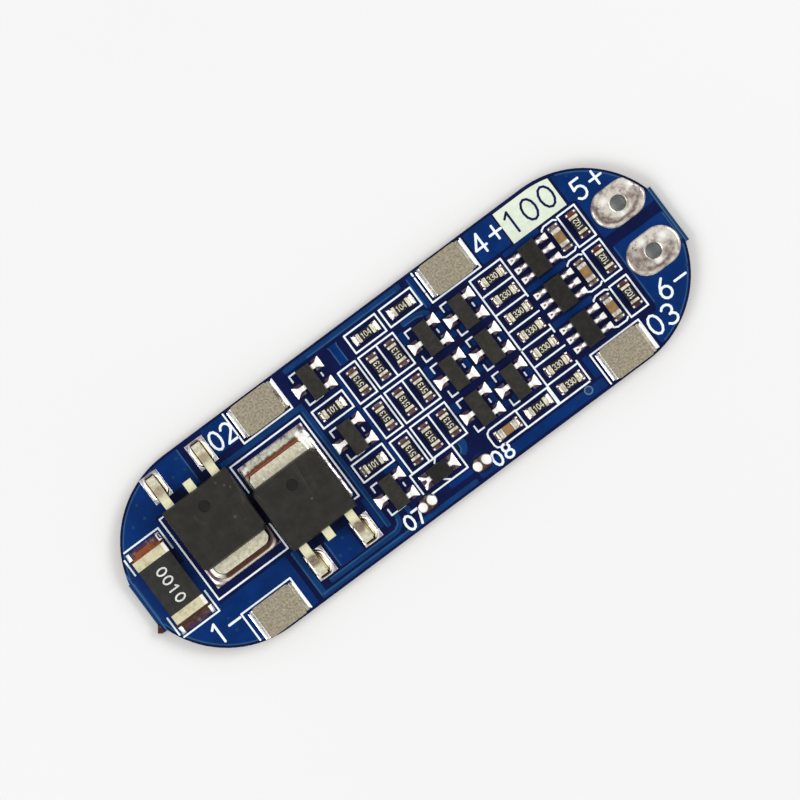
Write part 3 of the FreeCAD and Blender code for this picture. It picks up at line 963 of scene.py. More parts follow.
class BMS_OT_board(bpy.types.Operator):
    """Masked faces, cut laminate edges and the torn chip of the board"""
    bl_idname = "bms.board"
    bl_label = "Board"

    def execute(self, context):
        bare, cut, torn = [look("board", key) for key in ("bare_blue", "laminate", "torn")]
        material, tree = new_material("masked_laminate")
        mask = mottled(tree, bare, shaded(bare, 1.7), 600.0, 0.42, 0.75)
        mask = sloped(tree, mask, shaded(look("board", "edge_blue"), 0.7), 0.98, 0.85)
        side = mottled(tree, cut, shaded(cut, 0.55), 5000.0)
        up = split(tree, node(tree, "ShaderNodeNewGeometry").outputs["True Normal"])["Z"]
        flat = maths(tree, "GREATER_THAN", maths(tree, "ABSOLUTE", up), 0.4)
        colour = blend(tree, flat, side, mask)
        place, torn_place, torn_radius, soft = object_place(tree), at(-26.62, -2.72, 0.4), 0.59, 0.03
        far = vectors(tree, "DISTANCE", place, torn_place)
        chip = ramp(tree, far, (torn_radius + soft) * MM, (torn_radius - soft) * MM)
        colour = blend(tree, chip, colour, mottled(tree, torn, shaded(torn, 4.5), 5200.0, 0.56, 0.62))
        for line_x, width, blue in ((-26.17, 0.06, tone(55, 98, 153)), (26.26, 0.04, tone(62, 98, 142)),
                                    (-26.34, 0.08, tone(8, 42, 92))):
            off = apart(tree, split(tree, place)["X"], line_x * MM)
            line = maths(tree, "MULTIPLY", ramp(tree, off, (width + soft) * MM, (width - soft) * MM), flat)
            colour = blend(tree, line, colour, blue)
        finish_surface(tree, colour, 2600.0, (0.3, 0.42), 0.01, MASK_SPECULAR)
        finish_nodes(["circuit_board"], material)
        return {"FINISHED"}


def masked_copper(name, blue):
    """Glossy mask over copper, paler where it thins on a slope."""
    material, tree = new_material(name)
    mask = mottled(tree, blue, shaded(blue, 1.45), 520.0, 0.4, 0.7)
    mask = sloped(tree, mask, look("board", "edge_blue"), 0.97, 0.6)
    finish_surface(tree, mask, 1400.0, (0.28, 0.4), 0.012, MASK_SPECULAR)
    return material


def copper_areas():
    """Outlines of the wide copper under the mask."""
    left = [(-16.8, 8.4)] + [(max(x, -26.12), y) for x, y in arc_points(-END, 0, END_RADIUS, 90, 270, 40)] + [
        (-14.95, -8.4), (-14.95, -3.75), (-21.5, -3.75), (-21.5, 4.95), (-19.6, 4.95),
        (-19.6, 5.7), (-18.25, 5.7), (-18.25, 5.05), (-16.8, 5.05),
    ]
    upper_right = [(20.5, 5.4), (21.05, 5.2), (21.05, 1.4), (26.1, 1.4)]
    upper_right += arc_points(END, 0, END_RADIUS, 15.4, 72.7, 14)
    lower_right = [(21.15, -5.4), (20.95, -5.8), (19.7, -5.8)]
    lower_right += arc_points(END, 0, END_RADIUS, -78.3, -15.4, 16) + [(26.1, 0.42), (21.15, 0.42)]
    areas = [left, upper_right, lower_right] + [rectangle(*sides) for sides in (
        (-22.2, 0.75, -21.65, 2.3), (-14.45, 5.95, -12.3, 8.4), (-11.85, -7.2, -9.5, -4.7),
        (-7.4, -6.6, -7.05, -3.8), (-3.12, -4.4, -2.88, 5.5), (-4.5, 2.1, -3.25, 2.42),
        (-4.5, -3.4, -3.3, -3.02), (3.0, 4.0, 3.45, 5.1), (3.0, 0.65, 3.45, 1.7), (3.0, -2.9, 3.45, -2.0),
        (-0.95, -7.5, 1.35, -7.05), (6.15, 5.35, 6.62, 8.35), (11.95, 5.5, 14.8, 8.4),
        (13.65, 4.9, 17.2, 5.3), (13.55, 1.42, 17.4, 1.92), (13.55, -2.15, 17.4, -1.62),
        (1.6, -8.35, 14.2, -7.48), (13.75, -7.3, 14.25, -5.3), (-2.11, 5.8, -1.45, 7.65),
    )]
    for y in rows(-0.08, 3.51, 3):
        for side in (-1, 1):
            for left, right, near, far in ((6.47, 6.93, 0.62, 1.25), (7.42, 7.9, 0.72, 1.3)):
                low, high = sorted((y + side * near, y + side * far))
                areas.append(rectangle(left, low, right, high))
        areas += [rectangle(left, y - 0.42, right, y + 0.42) for left, right in ((5.95, 6.35), (9.55, 9.95))]
    return areas


def copper_tracks():
    """Outlines of the tracks under the mask."""
    return [
        rectangle(-6.2, 7.92, 5.5, 8.4),
        [(-14.5, -3.8), (-14.5, -8.4), (1.2, -8.4), (1.2, -7.98), (-13.95, -7.98), (-13.95, -3.8)],
        band([(-14.8, 5.1), (-6.75, 5.1), (-6.75, -6.9)], 0.46),
        band([(-13.2, -7.6), (-6.5, -7.6), (-6.0, -7.3), (-5.8, -6.8), (-5.75, -6.3)], 0.4),
        band([(3.7, 5.52), (5.0, 5.52), (5.7, 5.35), (6.1, 4.95)], 0.42),
        band([(2.05, -4.72), (2.05, -5.1), (1.85, -5.5), (1.45, -5.8)], 0.5),
        band([(-4.75, -6.35), (-4.75, -7.1)], 0.4),
    ]


def edge_lines(width):
    """Where the mask runs paler along the edges of the copper."""
    lines = [
        [(-16.86, 5.4), (-16.86, 8.35)], [(-14.42, -3.9), (-14.42, -8.1)],
        [(-14.3, -8.1), (-5.0, -8.1)], [(-6.9, 4.7), (-6.9, -6.7)], [(-26.08, -1.9), (-26.08, 1.75)],
        [(26.06, -2.4), (26.06, 0.3)], [(21.24, 0.35), (21.24, -5.2)], [(6.22, 5.45), (6.22, 8.25)],
        [(-2.12, 5.85), (-2.12, 7.4), (-2.2, 7.62)], [(-1.44, 5.85), (-1.44, 7.4), (-1.36, 7.62)],
        [(-13.2, -7.42), (-6.6, -7.42), (-6.1, -7.15), (-5.95, -6.7)], [(-4.0, 8.02), (5.0, 8.02)],
        [(1.7, -4.8), (1.65, -5.3), (1.4, -5.6)], [(3.8, 5.35), (5.0, 5.35), (5.6, 5.15)],
        [(-11.75, -7.1), (-11.75, -4.8)],
    ]
    for side, first, last in ((-1, 100, 166), (-1, 196, 258), (1, -76, -19), (1, 22, 70)):
        lines.append(arc_points(END * side, 0, END_RADIUS - 0.04, first, last, 20))
    return [band(line, width) for line in lines]


class BMS_OT_copper(bpy.types.Operator):
    """Areas and tracks of copper that stand out under the mask"""
    bl_idname = "bms.copper"
    bl_label = "Masked copper"

    def execute(self, context):
        relief, rounding = look("board", "relief"), look("board", "rounding")
        hole_radius, corner = 1.05, 0.12
        holes = [arc_points(output_hole_x(), centre(name).y, hole_radius, 0, 345, 23) for name in OUTPUTS]
        areas = [softened(loop, corner) for loop in copper_areas()] + holes
        tracks = [softened(loop, corner) for loop in copper_tracks()]
        for name, blue, loops, height in (
            ("copper_areas", "copper_blue", areas, relief),
            ("copper_tracks", "track_blue", tracks, relief - 0.002),
            ("copper_edges", "edge_blue", edge_lines(look("board", "edge_width")), relief + 0.003),
        ):
            piece = flat_piece(name, loops, BOARD_TOP - SUNK, height + SUNK, min(rounding, height))
            paint(piece, [masked_copper("mask_on_" + name, look("board", blue))])
            hand_over(smooth(piece, 30), "solder_mask")
        return {"FINISHED"}


class BMS_OT_vias(bpy.types.Operator):
    """Small plated holes closed over by the mask"""
    bl_idname = "bms.vias"
    bl_label = "Covered holes"

    def execute(self, context):
        piece = start("covered_holes")
        small_radius, wide, wide_radius, bottom = 0.14, (12.7, -7.7), 0.38, BOARD_TOP + 0.01
        rise, rim_width = 0.034, 0.05
        for x, y in (
            (-23.4, 5.4), (-22.2, 5.45), (-22.1, 6.65), (-18.4, 6.7), (-17.25, 6.7), (-17.3, 7.8),
            (-10.35, -5.35), (-11.35, -6.4), (-10.4, -6.45), (-21.6, -5.05), (-19.4, -5.05),
            (-21.6, -6.2), (21.6, 7.3), (25.1, -4.3),
        ):
            add_disc(x, y, bottom, small_radius, 14)
        add_disc(*wide, bottom, wide_radius)
        bpy.ops.mesh.select_all(action="SELECT")
        raise_faces(0, 0, rise)
        pick("FACE", lambda place, normal: normal.z > 0.9)
        for depth in (0.008, -0.014):
            bpy.ops.mesh.inset(thickness=rim_width * MM, depth=depth * MM, use_individual=True)
        deselect()
        material, tree = new_material("mask_over_holes")
        colour = mottled(tree, look("board", "track_blue"), shaded(look("board", "edge_blue"), 0.7), 1800.0)
        rim = (*wide, rim_width, 0.04, wide_radius - rim_width)
        colour = touched(tree, colour, [rim], tone(98, 120, 152))
        finish_surface(tree, colour, 1600.0, (0.28, 0.4), 0.01, MASK_SPECULAR)
        hand_over(smooth(paint(piece, [material]), 50), "solder_mask")
        return {"FINISHED"}


def legs(*path):
    """Lines between the points of a path given as x, y, x, y and so on."""
    points = list(zip(path[::2], path[1::2]))
    return [first + second for first, second in zip(points, points[1:])]


def outline_strokes():
    """Printed outlines of the parts, as x and y of both ends of each line."""
    strokes = [stroke for path in (
        (-25.05, 4.13, -21.65, 4.13, -21.65, 2.15), (-21.65, -2.2, -21.65, -4.19),
        (-25.4, 3.6, -25.4, 2.15), (-25.4, -2.18, -25.4, -3.83), (-25.2, -4.19, -21.65, -4.19),
        (-21.15, 4.59, -21.15, -3.45), (-21.15, 4.59, -20.6, 4.59), (-21.15, -3.45, -14.2, -3.45),
        (-14.2, -1, -14.2, -3.45), (-14.05, 4.55, -7.08, 4.55), (-14.05, 4.55, -14.05, 2.04),
        (-7.08, 4.55, -7.08, -3.48), (-7.5, -3.48, -7.08, -3.48), (-20.42, -5.48, -20.42, -8.06),
        (-20.42, -5.48, -15.52, -5.48, -15.52, -8.38),
        (-11.98, 8.35, -11.98, 5.42, -7.14, 5.42, -7.14, 8.27), (7.02, 8.35, 7.02, 8.12),
        (7.02, 7.9, 7.02, 6.55), (7.02, 6.35, 7.02, 5.45, 11.85, 5.45, 11.85, 8.28),
        (14.65, -5.56, 14.65, -8.4), (14.65, -5.56, 19.5, -5.56, 19.5, -8.3), (10.41, 5.04, 10.41, -7.22),
        (13.5, 5.04, 13.5, 1.3), (13.5, -1.6, 13.5, -2.3), (13.5, -5.25, 13.5, -7.22),
        (4.5, -5.51, 7.15, -5.51), (4.5, -7.2, 7.15, -7.2), (4.12, -5.95, 4.12, -6.8),
        (4.12, -5.95, 4.22, -5.68, 4.5, -5.51), (4.12, -6.8, 4.22, -7.05, 4.5, -7.2),
        (-2.83, -4.68, -2.83, -6.48), (-2.83, -4.68, 1.35, -4.68, 1.35, -6.9), (-2.3, -6.9, 1.35, -6.9),
        (-0.77, -6.5, -0.3, -6.87), (-0.62, -5.02, -0.35, -4.72),
    ) for stroke in legs(*path)]
    strokes += [(10.41, y, 13.5, y) for y in (5.04, 3.31, 1.52, -0.2, -1.93, -3.68, -5.45, -7.22)]
    boxes = [
        (-6.12, 2.54, -3.09, 4.19), (-6.12, -2.9, -3.09, -1.2), (-0.38, 5.86, 2.69, 7.55),
        (3.12, 5.86, 6.25, 7.55), (7.15, -7.22, 10.27, -5.56),
    ]
    for low, high in ((2.38, 5.45), (-1.1, 1.92), (-4.65, -1.54)):
        boxes += [(-2.55, low, -0.84, high), (-0.5, low, 1.26, high), (1.26, low, 2.96, high)]
    boxes += [(19.18, low, 20.88, high) for low, high in ((1.96, 5.0), (-1.48, 1.55), (-5.08, -2.05))]
    for left, low, right, high in boxes:
        strokes += legs(left, low, right, low, right, high, left, high, left, low)
    for low, high in ((1.98, 5.02), (-1.5, 1.55), (-5.05, -2.0)):
        for y, turn in ((low, 1), (high, -1)):
            strokes += legs(17.85, y, 18.75, y, 18.98, y + turn * 0.16)
            strokes += legs(17.85, y, 17.55, y + turn * 0.16, 17.5, y + turn * 0.24)
    return [(a - 0.175, b + 0.05, c - 0.175, d + 0.05) for a, b, c, d in strokes]


def corner_strokes():
    """Printed corners and ticks round the three-leaded transistors."""
    strokes = []
    for names, wide, high, tick in ((DRIVERS, 1.26, 1.42, 1.03), (CHANNELS, 1.27, 1.47, 1.0)):
        for x, y, _ in places_of(names):
            for side in (-1, 1):
                inner = 0.05 if side < 0 and names is DRIVERS else -0.68
                strokes.append((x - wide, y + side * high, x + inner, y + side * high))
                strokes.append((x - wide, y + side * high, x - wide, y + side * (high - 0.55)))
            strokes.append((x + tick, y - 0.14, x + tick, y + 0.14))
    return strokes


class BMS_OT_print(bpy.types.Operator):
    """Printed outlines, terminal numbers and the solid block"""
    bl_idname = "bms.print"
    bl_label = "Print"

    def execute(self, context):
        bottom, top = BOARD_TOP - 0.004, BOARD_TOP + look("print", "thickness")
        white, pale = look("print", "ink"), look("print", "block_ink")
        blue = shaded(look("board", "bare_blue"), 1.4)
        ink = surface("legend_ink", white, shaded(white, 0.8), 2400.0, (0.5, 0.65), low=0.5, high=0.75,
                      grain=3000.0, specular=INK_SPECULAR)
        labels = [stroke for label in (
            ("1-", -23.45, -6.4, 1.65, 1.55, 1.5), ("02", -14.3, 6.2, 1.6, 1.18, 1.32),
            ("4+", 12.15, 6.22, 1.65, 1.6, 1.5), ("5+", 21.3, 4.95, 1.65, 1.55, 1.5),
            ("6-", 22.0, -5.6, 1.65, 1.55, 1.5), ("03", 19.7, -7.5, 1.65, 1.45, 1.5),
            ("07", -5.62, -8.25, 1.2, 0.95, 1.1), ("08", 3.15, -8.3, 1.2, 1.05, 1.1),
        ) for stroke in lettering(*label)]
        for name, strokes, width in (
            ("printed_outlines", outline_strokes() + corner_strokes(), look("print", "line_width")),
            ("terminal_numbers", labels, look("print", "legend_width")),
        ):
            hand_over(paint(printed(name, strokes, width, bottom, top), [ink]), "solder_mask")

        outline = [(14.95, 8.32), (14.95, 5.37), (20.25, 5.37)]
        outline += arc_points(END, 0, END_RADIUS - 0.08, 74.3, 88.5, 6)
        block = flat_piece("printed_block", [outline], bottom, top - bottom - 0.004, rounding=0.02)
        solid = surface("block_ink", pale, shaded(pale, 0.9), 1500.0, (0.5, 0.65), grain=2400.0,
                        specular=INK_SPECULAR)
        hand_over(paint(block, [solid]), "solder_mask")
        strokes = lettering("100", 15.3, 5.95, height=1.85, step=1.72, width=1.75)
        knocked = printed("block_figures", strokes, width=0.2, bottom=BOARD_TOP, top=top + 0.006)
        dark = surface("mask_in_block", blue, shaded(blue, 1.5), 900.0, (0.3, 0.42),
                       relief=0.005, grain=2600.0, specular=MASK_SPECULAR)
        hand_over(paint(knocked, [dark]), "solder_mask")
        return {"FINISHED"}


def land_blocks():
    """Every bare land as (x, y, length, depth), from the parts that stand on them."""
    lands = []
    for names, out, size, left, right in (
        (DRIVERS + CHANNELS, 1.235, (0.77, 1.0), (0,), SMALL_PINS),
        (GUARDS, 1.475, (0.85, 0.6), ALL_SMALL_PINS, ALL_SMALL_PINS),
        (["diode"], 1.335, (0.77, 1.3), (0,), (0,)),
    ):
        for x, y, _ in places_of(names):
            for side, pins in ((-1, left), (1, right)):
                lands += [(x + side * out, y + pin, *size) for pin in pins]
    return lands


class BMS_OT_lands(bpy.types.Operator):
    """Thin lands under the small leaded parts, only partly covered by solder"""
    bl_idname = "bms.lands"
    bl_label = "Lands"

    def execute(self, context):
        piece = start("bare_lands")
        for x, y, length, depth in land_blocks():
            add_block(x, y, BOARD_TOP - SUNK, length, depth, LAND_HEIGHT)
        soften(0.02, 1, lambda place, normal: place.z > LAND_TOP - 0.01)
        deselect()
        paint(piece, [finishes()["land"]])
        hand_over(piece, "tinned_copper", "solder_joints")
        return {"FINISHED"}


class BMS_OT_chip_joints(bpy.types.Operator):
    """Hollow solder at both ends of every chip and of the shunt"""
    bl_idname = "bms.chip_joints"
    bl_label = "Chip joints"

    def execute(self, context):
        shared = finishes()
        level, first, outer = RESISTORS[11:18] + CAPACITORS[3:], RESISTORS[:2], RESISTORS[21:]
        divider, filters, upright = RESISTORS[2:11], RESISTORS[18:21], CAPACITORS[:3]
        # Upright chips: painted brown reflection in the hollow of each joint; level chips: a cream tone
        # there. The corner beads take a painted highlight.
        for name, places, hollow, chosen in (
            ("level_chip_joints", places_of(level) + places_of(level + first, 180), "chip_end",
             beads(0.42, taper=0.4, far=0.66)),
            ("first_chip_joints", places_of(first + outer) + places_of(outer, 180), "cream", flare),
            ("divider_chip_joints", places_of(divider, 90) + places_of(divider, 270), "stain", beads(0.3)),
            ("upper_filter_joints", places_of(filters, 90), "rust", beads(0.27)),
            ("lower_filter_joints", places_of(filters, 270), "burnt", beads(0.27)),
            ("capacitor_joints", places_of(upright, 90) + places_of(upright, 270), "flux", beads(0.34)),
        ):
            piece = end_joint(name, CHIP_TOE, CHIP_OUT, width=1.0, climb=0.27, ear=0.13)
            paint(piece, [shared[key] for key in ("glint", hollow, "land")], chosen)
            hand_over(laid_out(piece, places), "solder")
        # Shunt: painted red-brown reflection in the upper hollow, painted dark reflection in the lower one
        for name, turn, hollow in (("upper_shunt_joint", 90, "stained"), ("lower_shunt_joint", 270, "burnt")):
            piece = end_joint(name, SHUNT_TOE, SHUNT_OUT, width=3.3, climb=0.36, ear=0.22)
            paint(piece, [shared[key] for key in ("glint", hollow, "land", "burnt")], shunt_finish)
            hand_over(laid_out(piece, [(SHUNT.x, SHUNT.y, turn)]), "solder")
        return {"FINISHED"}


class BMS_OT_lead_joints(bpy.types.Operator):
    """Solder that fans out from the leads of the small packages"""
    bl_idname = "bms.lead_joints"
    bl_label = "Lead joints"

    def execute(self, context):
        glint, flux, land = [finishes()[key] for key in ("glint", "flux", "land")]
        centres, guards, diode = places_of(DRIVERS + CHANNELS), places_of(GUARDS), centre("diode")
        places = [(x - 0.1, y, 180) for x, y, _ in centres]
        places += [(x - 0.06, y + pin, 0) for x, y, _ in centres for pin in SMALL_PINS]
        # The mounds take the painted highlight colour of solder
        piece = lead_mound("transistor_joints", (0.72, 0.85, 1.05, 1.24, 1.4, 1.54, 1.62),
                           (0.34, 0.34, 0.38, 0.56, 0.8, 0.98, 1.02),
                           (0.07, 0.1, 0.14, 0.13, 0.09, 0.05, 0.03))
        hand_over(laid_out(paint(piece, [glint]), places), "solder")
        for name, turn, neck in (("left_protection_joints", 180, 0.05), ("right_protection_joints", 0, 0.12)):
            places = [(x, y + pin, turn) for x, y, _ in guards for pin in ALL_SMALL_PINS]
            piece = lead_mound(name, (0.86, 0.98, 1.08, 1.2, 1.32, 1.5, 1.7, 1.88),
                               (0.36, 0.42, 0.36, 0.3, 0.34, 0.4, 0.5, 0.52),
                               (0.08, 0.12, 0.11, 0.1, 0.09, 0.07, 0.05, 0.03))
            # Painted dim shade on the neck of a protection joint and on one small spot
            paint(piece, [glint, flux], lambda place, normal: int(
                abs(place.x - 1.2) < neck or turn == 180 and abs(place.x - 1.6) < 0.1 and abs(place.y) < 0.1))
            hand_over(laid_out(piece, places), "solder")
        for name, turn, notch in (("right_diode_joint", 0, 0.0), ("left_diode_joint", 180, 0.6)):
            piece = lead_mound(name, (0.92, 1.04, 1.16, 1.32, 1.5, 1.64, 1.7),
                               (0.46, 0.44, 0.4, 0.66, 1.02, 1.24, 1.26),
                               (0.08, 0.12, 0.12, 0.1, 0.07, 0.05, 0.03))
            paint(piece, [glint, land],
                  lambda place, normal: int(place.x > 1.2 and abs(place.y) < notch * (place.x - 1.1)))
            hand_over(laid_out(piece, [(diode.x, diode.y, turn)]), "solder")
        return {"FINISHED"}


def slug_joint(name, out, offset):
    """Solder round the slug of a power transistor with its leads to +Y, out to the edge of its land."""
    slug_half, slug_end, land_half, land_depth = 2.6, 4.0, 3.185, 2.0
    loops = []
    for share, height in (
        (0.0, 0.3), (0.08, 0.17), (0.18, 0.12), (0.3, 0.11), (0.42, 0.125), (0.55, 0.14), (0.68, 0.15),
        (0.78, 0.13), (0.88, 0.075), (0.96, 0.03), (1.0, -0.04),
    ):
        half = slug_half + (land_half - slug_half) * share
        low, high = 0.05 - slug_end - (out + 0.05) * share, 1.0 + 1.2 * share
        radius = 0.32 + 0.45 * math.sin(math.pi * share)
        loops.append((radius, LAND_TOP + height, half - radius, (high - low) / 2 - radius, offset * share,
                      (low + high) / 2))
    piece = loops_piece(name, 0, 0, loops)
    face_outward()
    flat = LAND_TOP + 0.02
    pick("VERT", lambda place, normal: place.y > -2.7 and abs(place.x) < 3.15 and place.z > flat)
    bpy.ops.transform.resize(value=(1, 1, 0), center_override=at(0, 0, flat))
    add_block(offset, land_depth / 2 - slug_end - out, BOARD_TOP - SUNK,
              2 * land_half, land_depth, LAND_HEIGHT)
    deselect()
    return smooth(piece, 60)


def foot_joint(name, offset):
    """Land and oval ring of solder round the foot of a power transistor's lead, towards +Y."""
    land_width, land_length = 1.72, 2.46
    piece = start(name + "_land")
    add_block(offset, FOOT + 0.03, BOARD_TOP - SUNK, land_width, land_length, LAND_HEIGHT)
    soften(0.03, 2, lambda place, normal: place.z > LAND_TOP - 0.01)
    deselect()
    loops = [
        (0.84 - 0.42 * share, LAND_TOP + level, 0, 0.36 + 0.12 * share, offset * 0.8, FOOT)
        for share, level in ((0.0, -0.02), (0.12, 0.07), (0.35, 0.15), (0.6, 0.17), (0.82, 0.1), (1.0, 0.03))
    ]
    ring = loops_piece(name, 0, 0, loops)
    close_top(LAND_TOP + 0.03)
    select([piece, smooth(ring, 50)])
    bpy.ops.object.join()
    bpy.context.object.name = name
    return bpy.context.object


def slug_tones(tree, switch):
    """Solder tones round the slug of one power transistor, in bands of painted highlight and shade, and the
    distance from the slug.
    """
    if switch == "charge_switch":
        return wetted(
            tree, (CHARGE.x - 2.44, CHARGE.x + 2.7, CHARGE.y - 4.01, CHARGE.y + 6, 0.8, 0, 0.03),
            ((0.06, (30, 26, 36)), (0.4, (250, 246, 232)), (0.68, (104, 86, 94)), (0.9, (232, 228, 230)),
             (1.12, (128, 108, 110)), (1.6, (206, 204, 208))),
            ((0.15, (30, 27, 34)), (0.26, (66, 56, 60)), (0.44, (92, 84, 86)), (1.6, (60, 54, 70))),
            ((0.04, (36, 28, 34)), (0.36, (84, 56, 48)), (0.44, (112, 92, 84)), (0.66, (236, 226, 206)),
             (1.12, (128, 108, 110)), (1.6, (206, 204, 208))),
        )
    return wetted(
        tree, (DISCHARGE.x - 2.65, DISCHARGE.x + 2.66, DISCHARGE.y + 4.0, DISCHARGE.y - 6, 0.3, 0, 0.34),
        ((0.02, (90, 80, 76)), (0.3, (150, 146, 142)), (1.6, (120, 112, 118))),
        ((0.02, (130, 118, 104)), (0.5, (252, 250, 240)), (0.64, (128, 110, 110)), (0.9, (240, 236, 232)),
         (1.6, (90, 76, 90))),
        # Painted red-brown reflection along the end of the discharge slug
        ((0.04, (84, 52, 42)), (0.22, (140, 76, 56)), (0.36, (100, 62, 50)), (0.46, (112, 94, 82)),
         (1.0, (190, 188, 168)), (1.6, (160, 152, 166))),
    )


def slug_finish(switch):
    """Solder round one slug: the wide joint is rough, with painted highlights in smooth bright patches."""
    material, tree = new_material(switch + "_slug_solder")
    colour, far = slug_tones(tree, switch)
    if switch == "charge_switch":
        finish_surface(tree, stained(tree, colour, 0.3, 2400.0, 0.48, 0.72), 2600.0, (0.22, 0.42), 0.01)
        return material
    rough = stained(tree, colour, 0.75, 2000.0, 0.46, 0.64)
    rough = stained(tree, rough, 0.35, 3400.0, 0.52, 0.66, (1.0, 1.0, 0.96, 1.0))
    colour = blend(tree, ramp(tree, far, 0.3 * MM, 0.5 * MM), colour, rough)
    # Painted highlights in small bright patches, then one darker spot
    bright = around(DISCHARGE, [(2.9, 4.0, 0.4, 0.06), (2.72, 4.45, 0.24, 0.08), (3.02, 3.5, 0.3, 0.1),
                                (3.45, 4.95, 0.12, 0.06), (-2.6, 4.6, 0.2, 0.12), (-2.3, 4.7, 0.14, 0.12)])
    colour = touched(tree, colour, bright, look("solder", "glint"), 0.94)
    colour = touched(tree, colour, around(DISCHARGE, [(3.25, 4.72, 0.12, 0.08)]), tone(92, 74, 88), 0.8)
    finish_surface(tree, colour, 2600.0, (0.22, 0.42), 0.05)
    return material


def foot_tones(switch, body):
    """Bands of painted highlight and shade in the solder round both outer leads of one power transistor,
    given in the form that the banding by distance takes.
    """
    half, tip, root = 0.39, 5.88, 1.5
    left, right = body.x - PIN - half, body.x + PIN + half
    if switch == "charge_switch":
        band = ((0.11, (92, 66, 54)), (0.46, (250, 246, 234)), (1.6, (168, 164, 160)))
        end = ((0.15, (78, 54, 46)), (0.3, (150, 146, 150)), (1.6, (186, 184, 188)))
        return (left, right, body.y + tip, body.y + root, 0.1, PIN, 0.04), band, band, end
    band = ((-0.06, (194, 190, 164)), (0.04, (112, 90, 78)), (0.5, (250, 246, 232)), (1.6, (172, 168, 160)))
    end = ((0.17, (48, 34, 32)), (0.24, (150, 130, 116)), (1.6, (236, 232, 224)))
    return (left, right + 0.2, body.y - tip, body.y - root, 0.16, PIN, 0.05), band, band, end


class BMS_OT_switch_joints(bpy.types.Operator):
    """Lands and solder of the two power transistors"""
    bl_idname = "bms.switch_joints"
    bl_label = "Power transistor joints"

    def execute(self, context):
        for name, body, out, offset, facing in (
            ("charge_switch", CHARGE, 0.6, 0, 1), ("discharge_switch", DISCHARGE, 1.1, -0.3, -1),
        ):
            turn = 90 - 90 * facing
            piece = paint(slug_joint(name + "_slug_joint", out, offset), [slug_finish(name)])
            hand_over(laid_out(piece, [(body.x, body.y, turn)]), "solder")
            places = [(body.x + side * PIN, body.y, turn) for side in (-facing, facing)]
            piece = laid_out(foot_joint(name + "_foot_joints", offset), places)
            oval, radius = (body.x + facing * offset * 0.6, body.y + facing * FOOT), 0.82 - offset * 0.3
            finish = foot_finish(name + "_foot_solder", oval, radius, *foot_tones(name, body))
            hand_over(paint(piece, [finish]), "solder")
        return {"FINISHED"}


class BMS_OT_tab_joints(bpy.types.Operator):
    """Solder that climbs both short sides of the weld tabs and spreads on them"""
    bl_idname = "bms.tab_joints"
    bl_label = "Tab joints"

    def execute(self, context):
        shared, nickel = finishes(), look("part", "nickel")
        stations = [1.81, 1.84, 1.9, 1.97, 2.05, 2.13, 2.19, 2.23]
        heights = [1.43, 1.44, 1.38, 1.28, 1.18, 1.1, 1.07, 1.055]
        # Left joints in painted highlight; right joints in the cream reflection, with a line of painted shade
        # where they meet the tab
        for name, turn, key in (("right_tab_joints", 0, "cream"), ("left_tab_joints", 180, "glint")):
            piece = ridge(name, stations, heights, width=2.66, columns=12)
            pick("VERT", lambda place, normal: place.x > 2.1 and abs(place.y) > 1.2)
            scale(1, 0.93)
            close_below(LAND_TOP - 0.03)
            paint(smooth(piece, 60), [shared[key], shared["burnt"]],
                  lambda place, normal: int(key == "cream" and place.x < 1.86))
            hand_over(laid_out(piece, places_of(TABS, turn)), "solder")
        finish_nodes(TABS, surface("nickel_sheet", shaded(nickel, 0.94), shaded(nickel, 1.62), 5600.0,
                                   (0.36, 0.55), relief=0.03, low=0.38, grain=4200.0))
        return {"FINISHED"}


def keep_on_board(piece):
    """In edit mode, pull a pad's outer points back from the rounded end of the board."""
    mesh = bmesh.from_edit_mesh(piece.data)
    for vertex in mesh.verts:
        away = vertex.co.xy / MM - Vector((END, 0))
        over = away.length - (END_RADIUS - 0.06)
        if vertex.co.x > 20 * MM and over > 0:
            bpy.ops.mesh.select_all(action="DESELECT")
            vertex.select_set(True)
            bpy.ops.transform.translate(value=(-away.normalized() * over * MM).to_3d())


def output_hole_x():
    """Middle of the output holes along the board: half a pad from its inner end."""
    pad_half = 2.35
    low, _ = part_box("negative_output_pad")
    return low.x / MM + pad_half


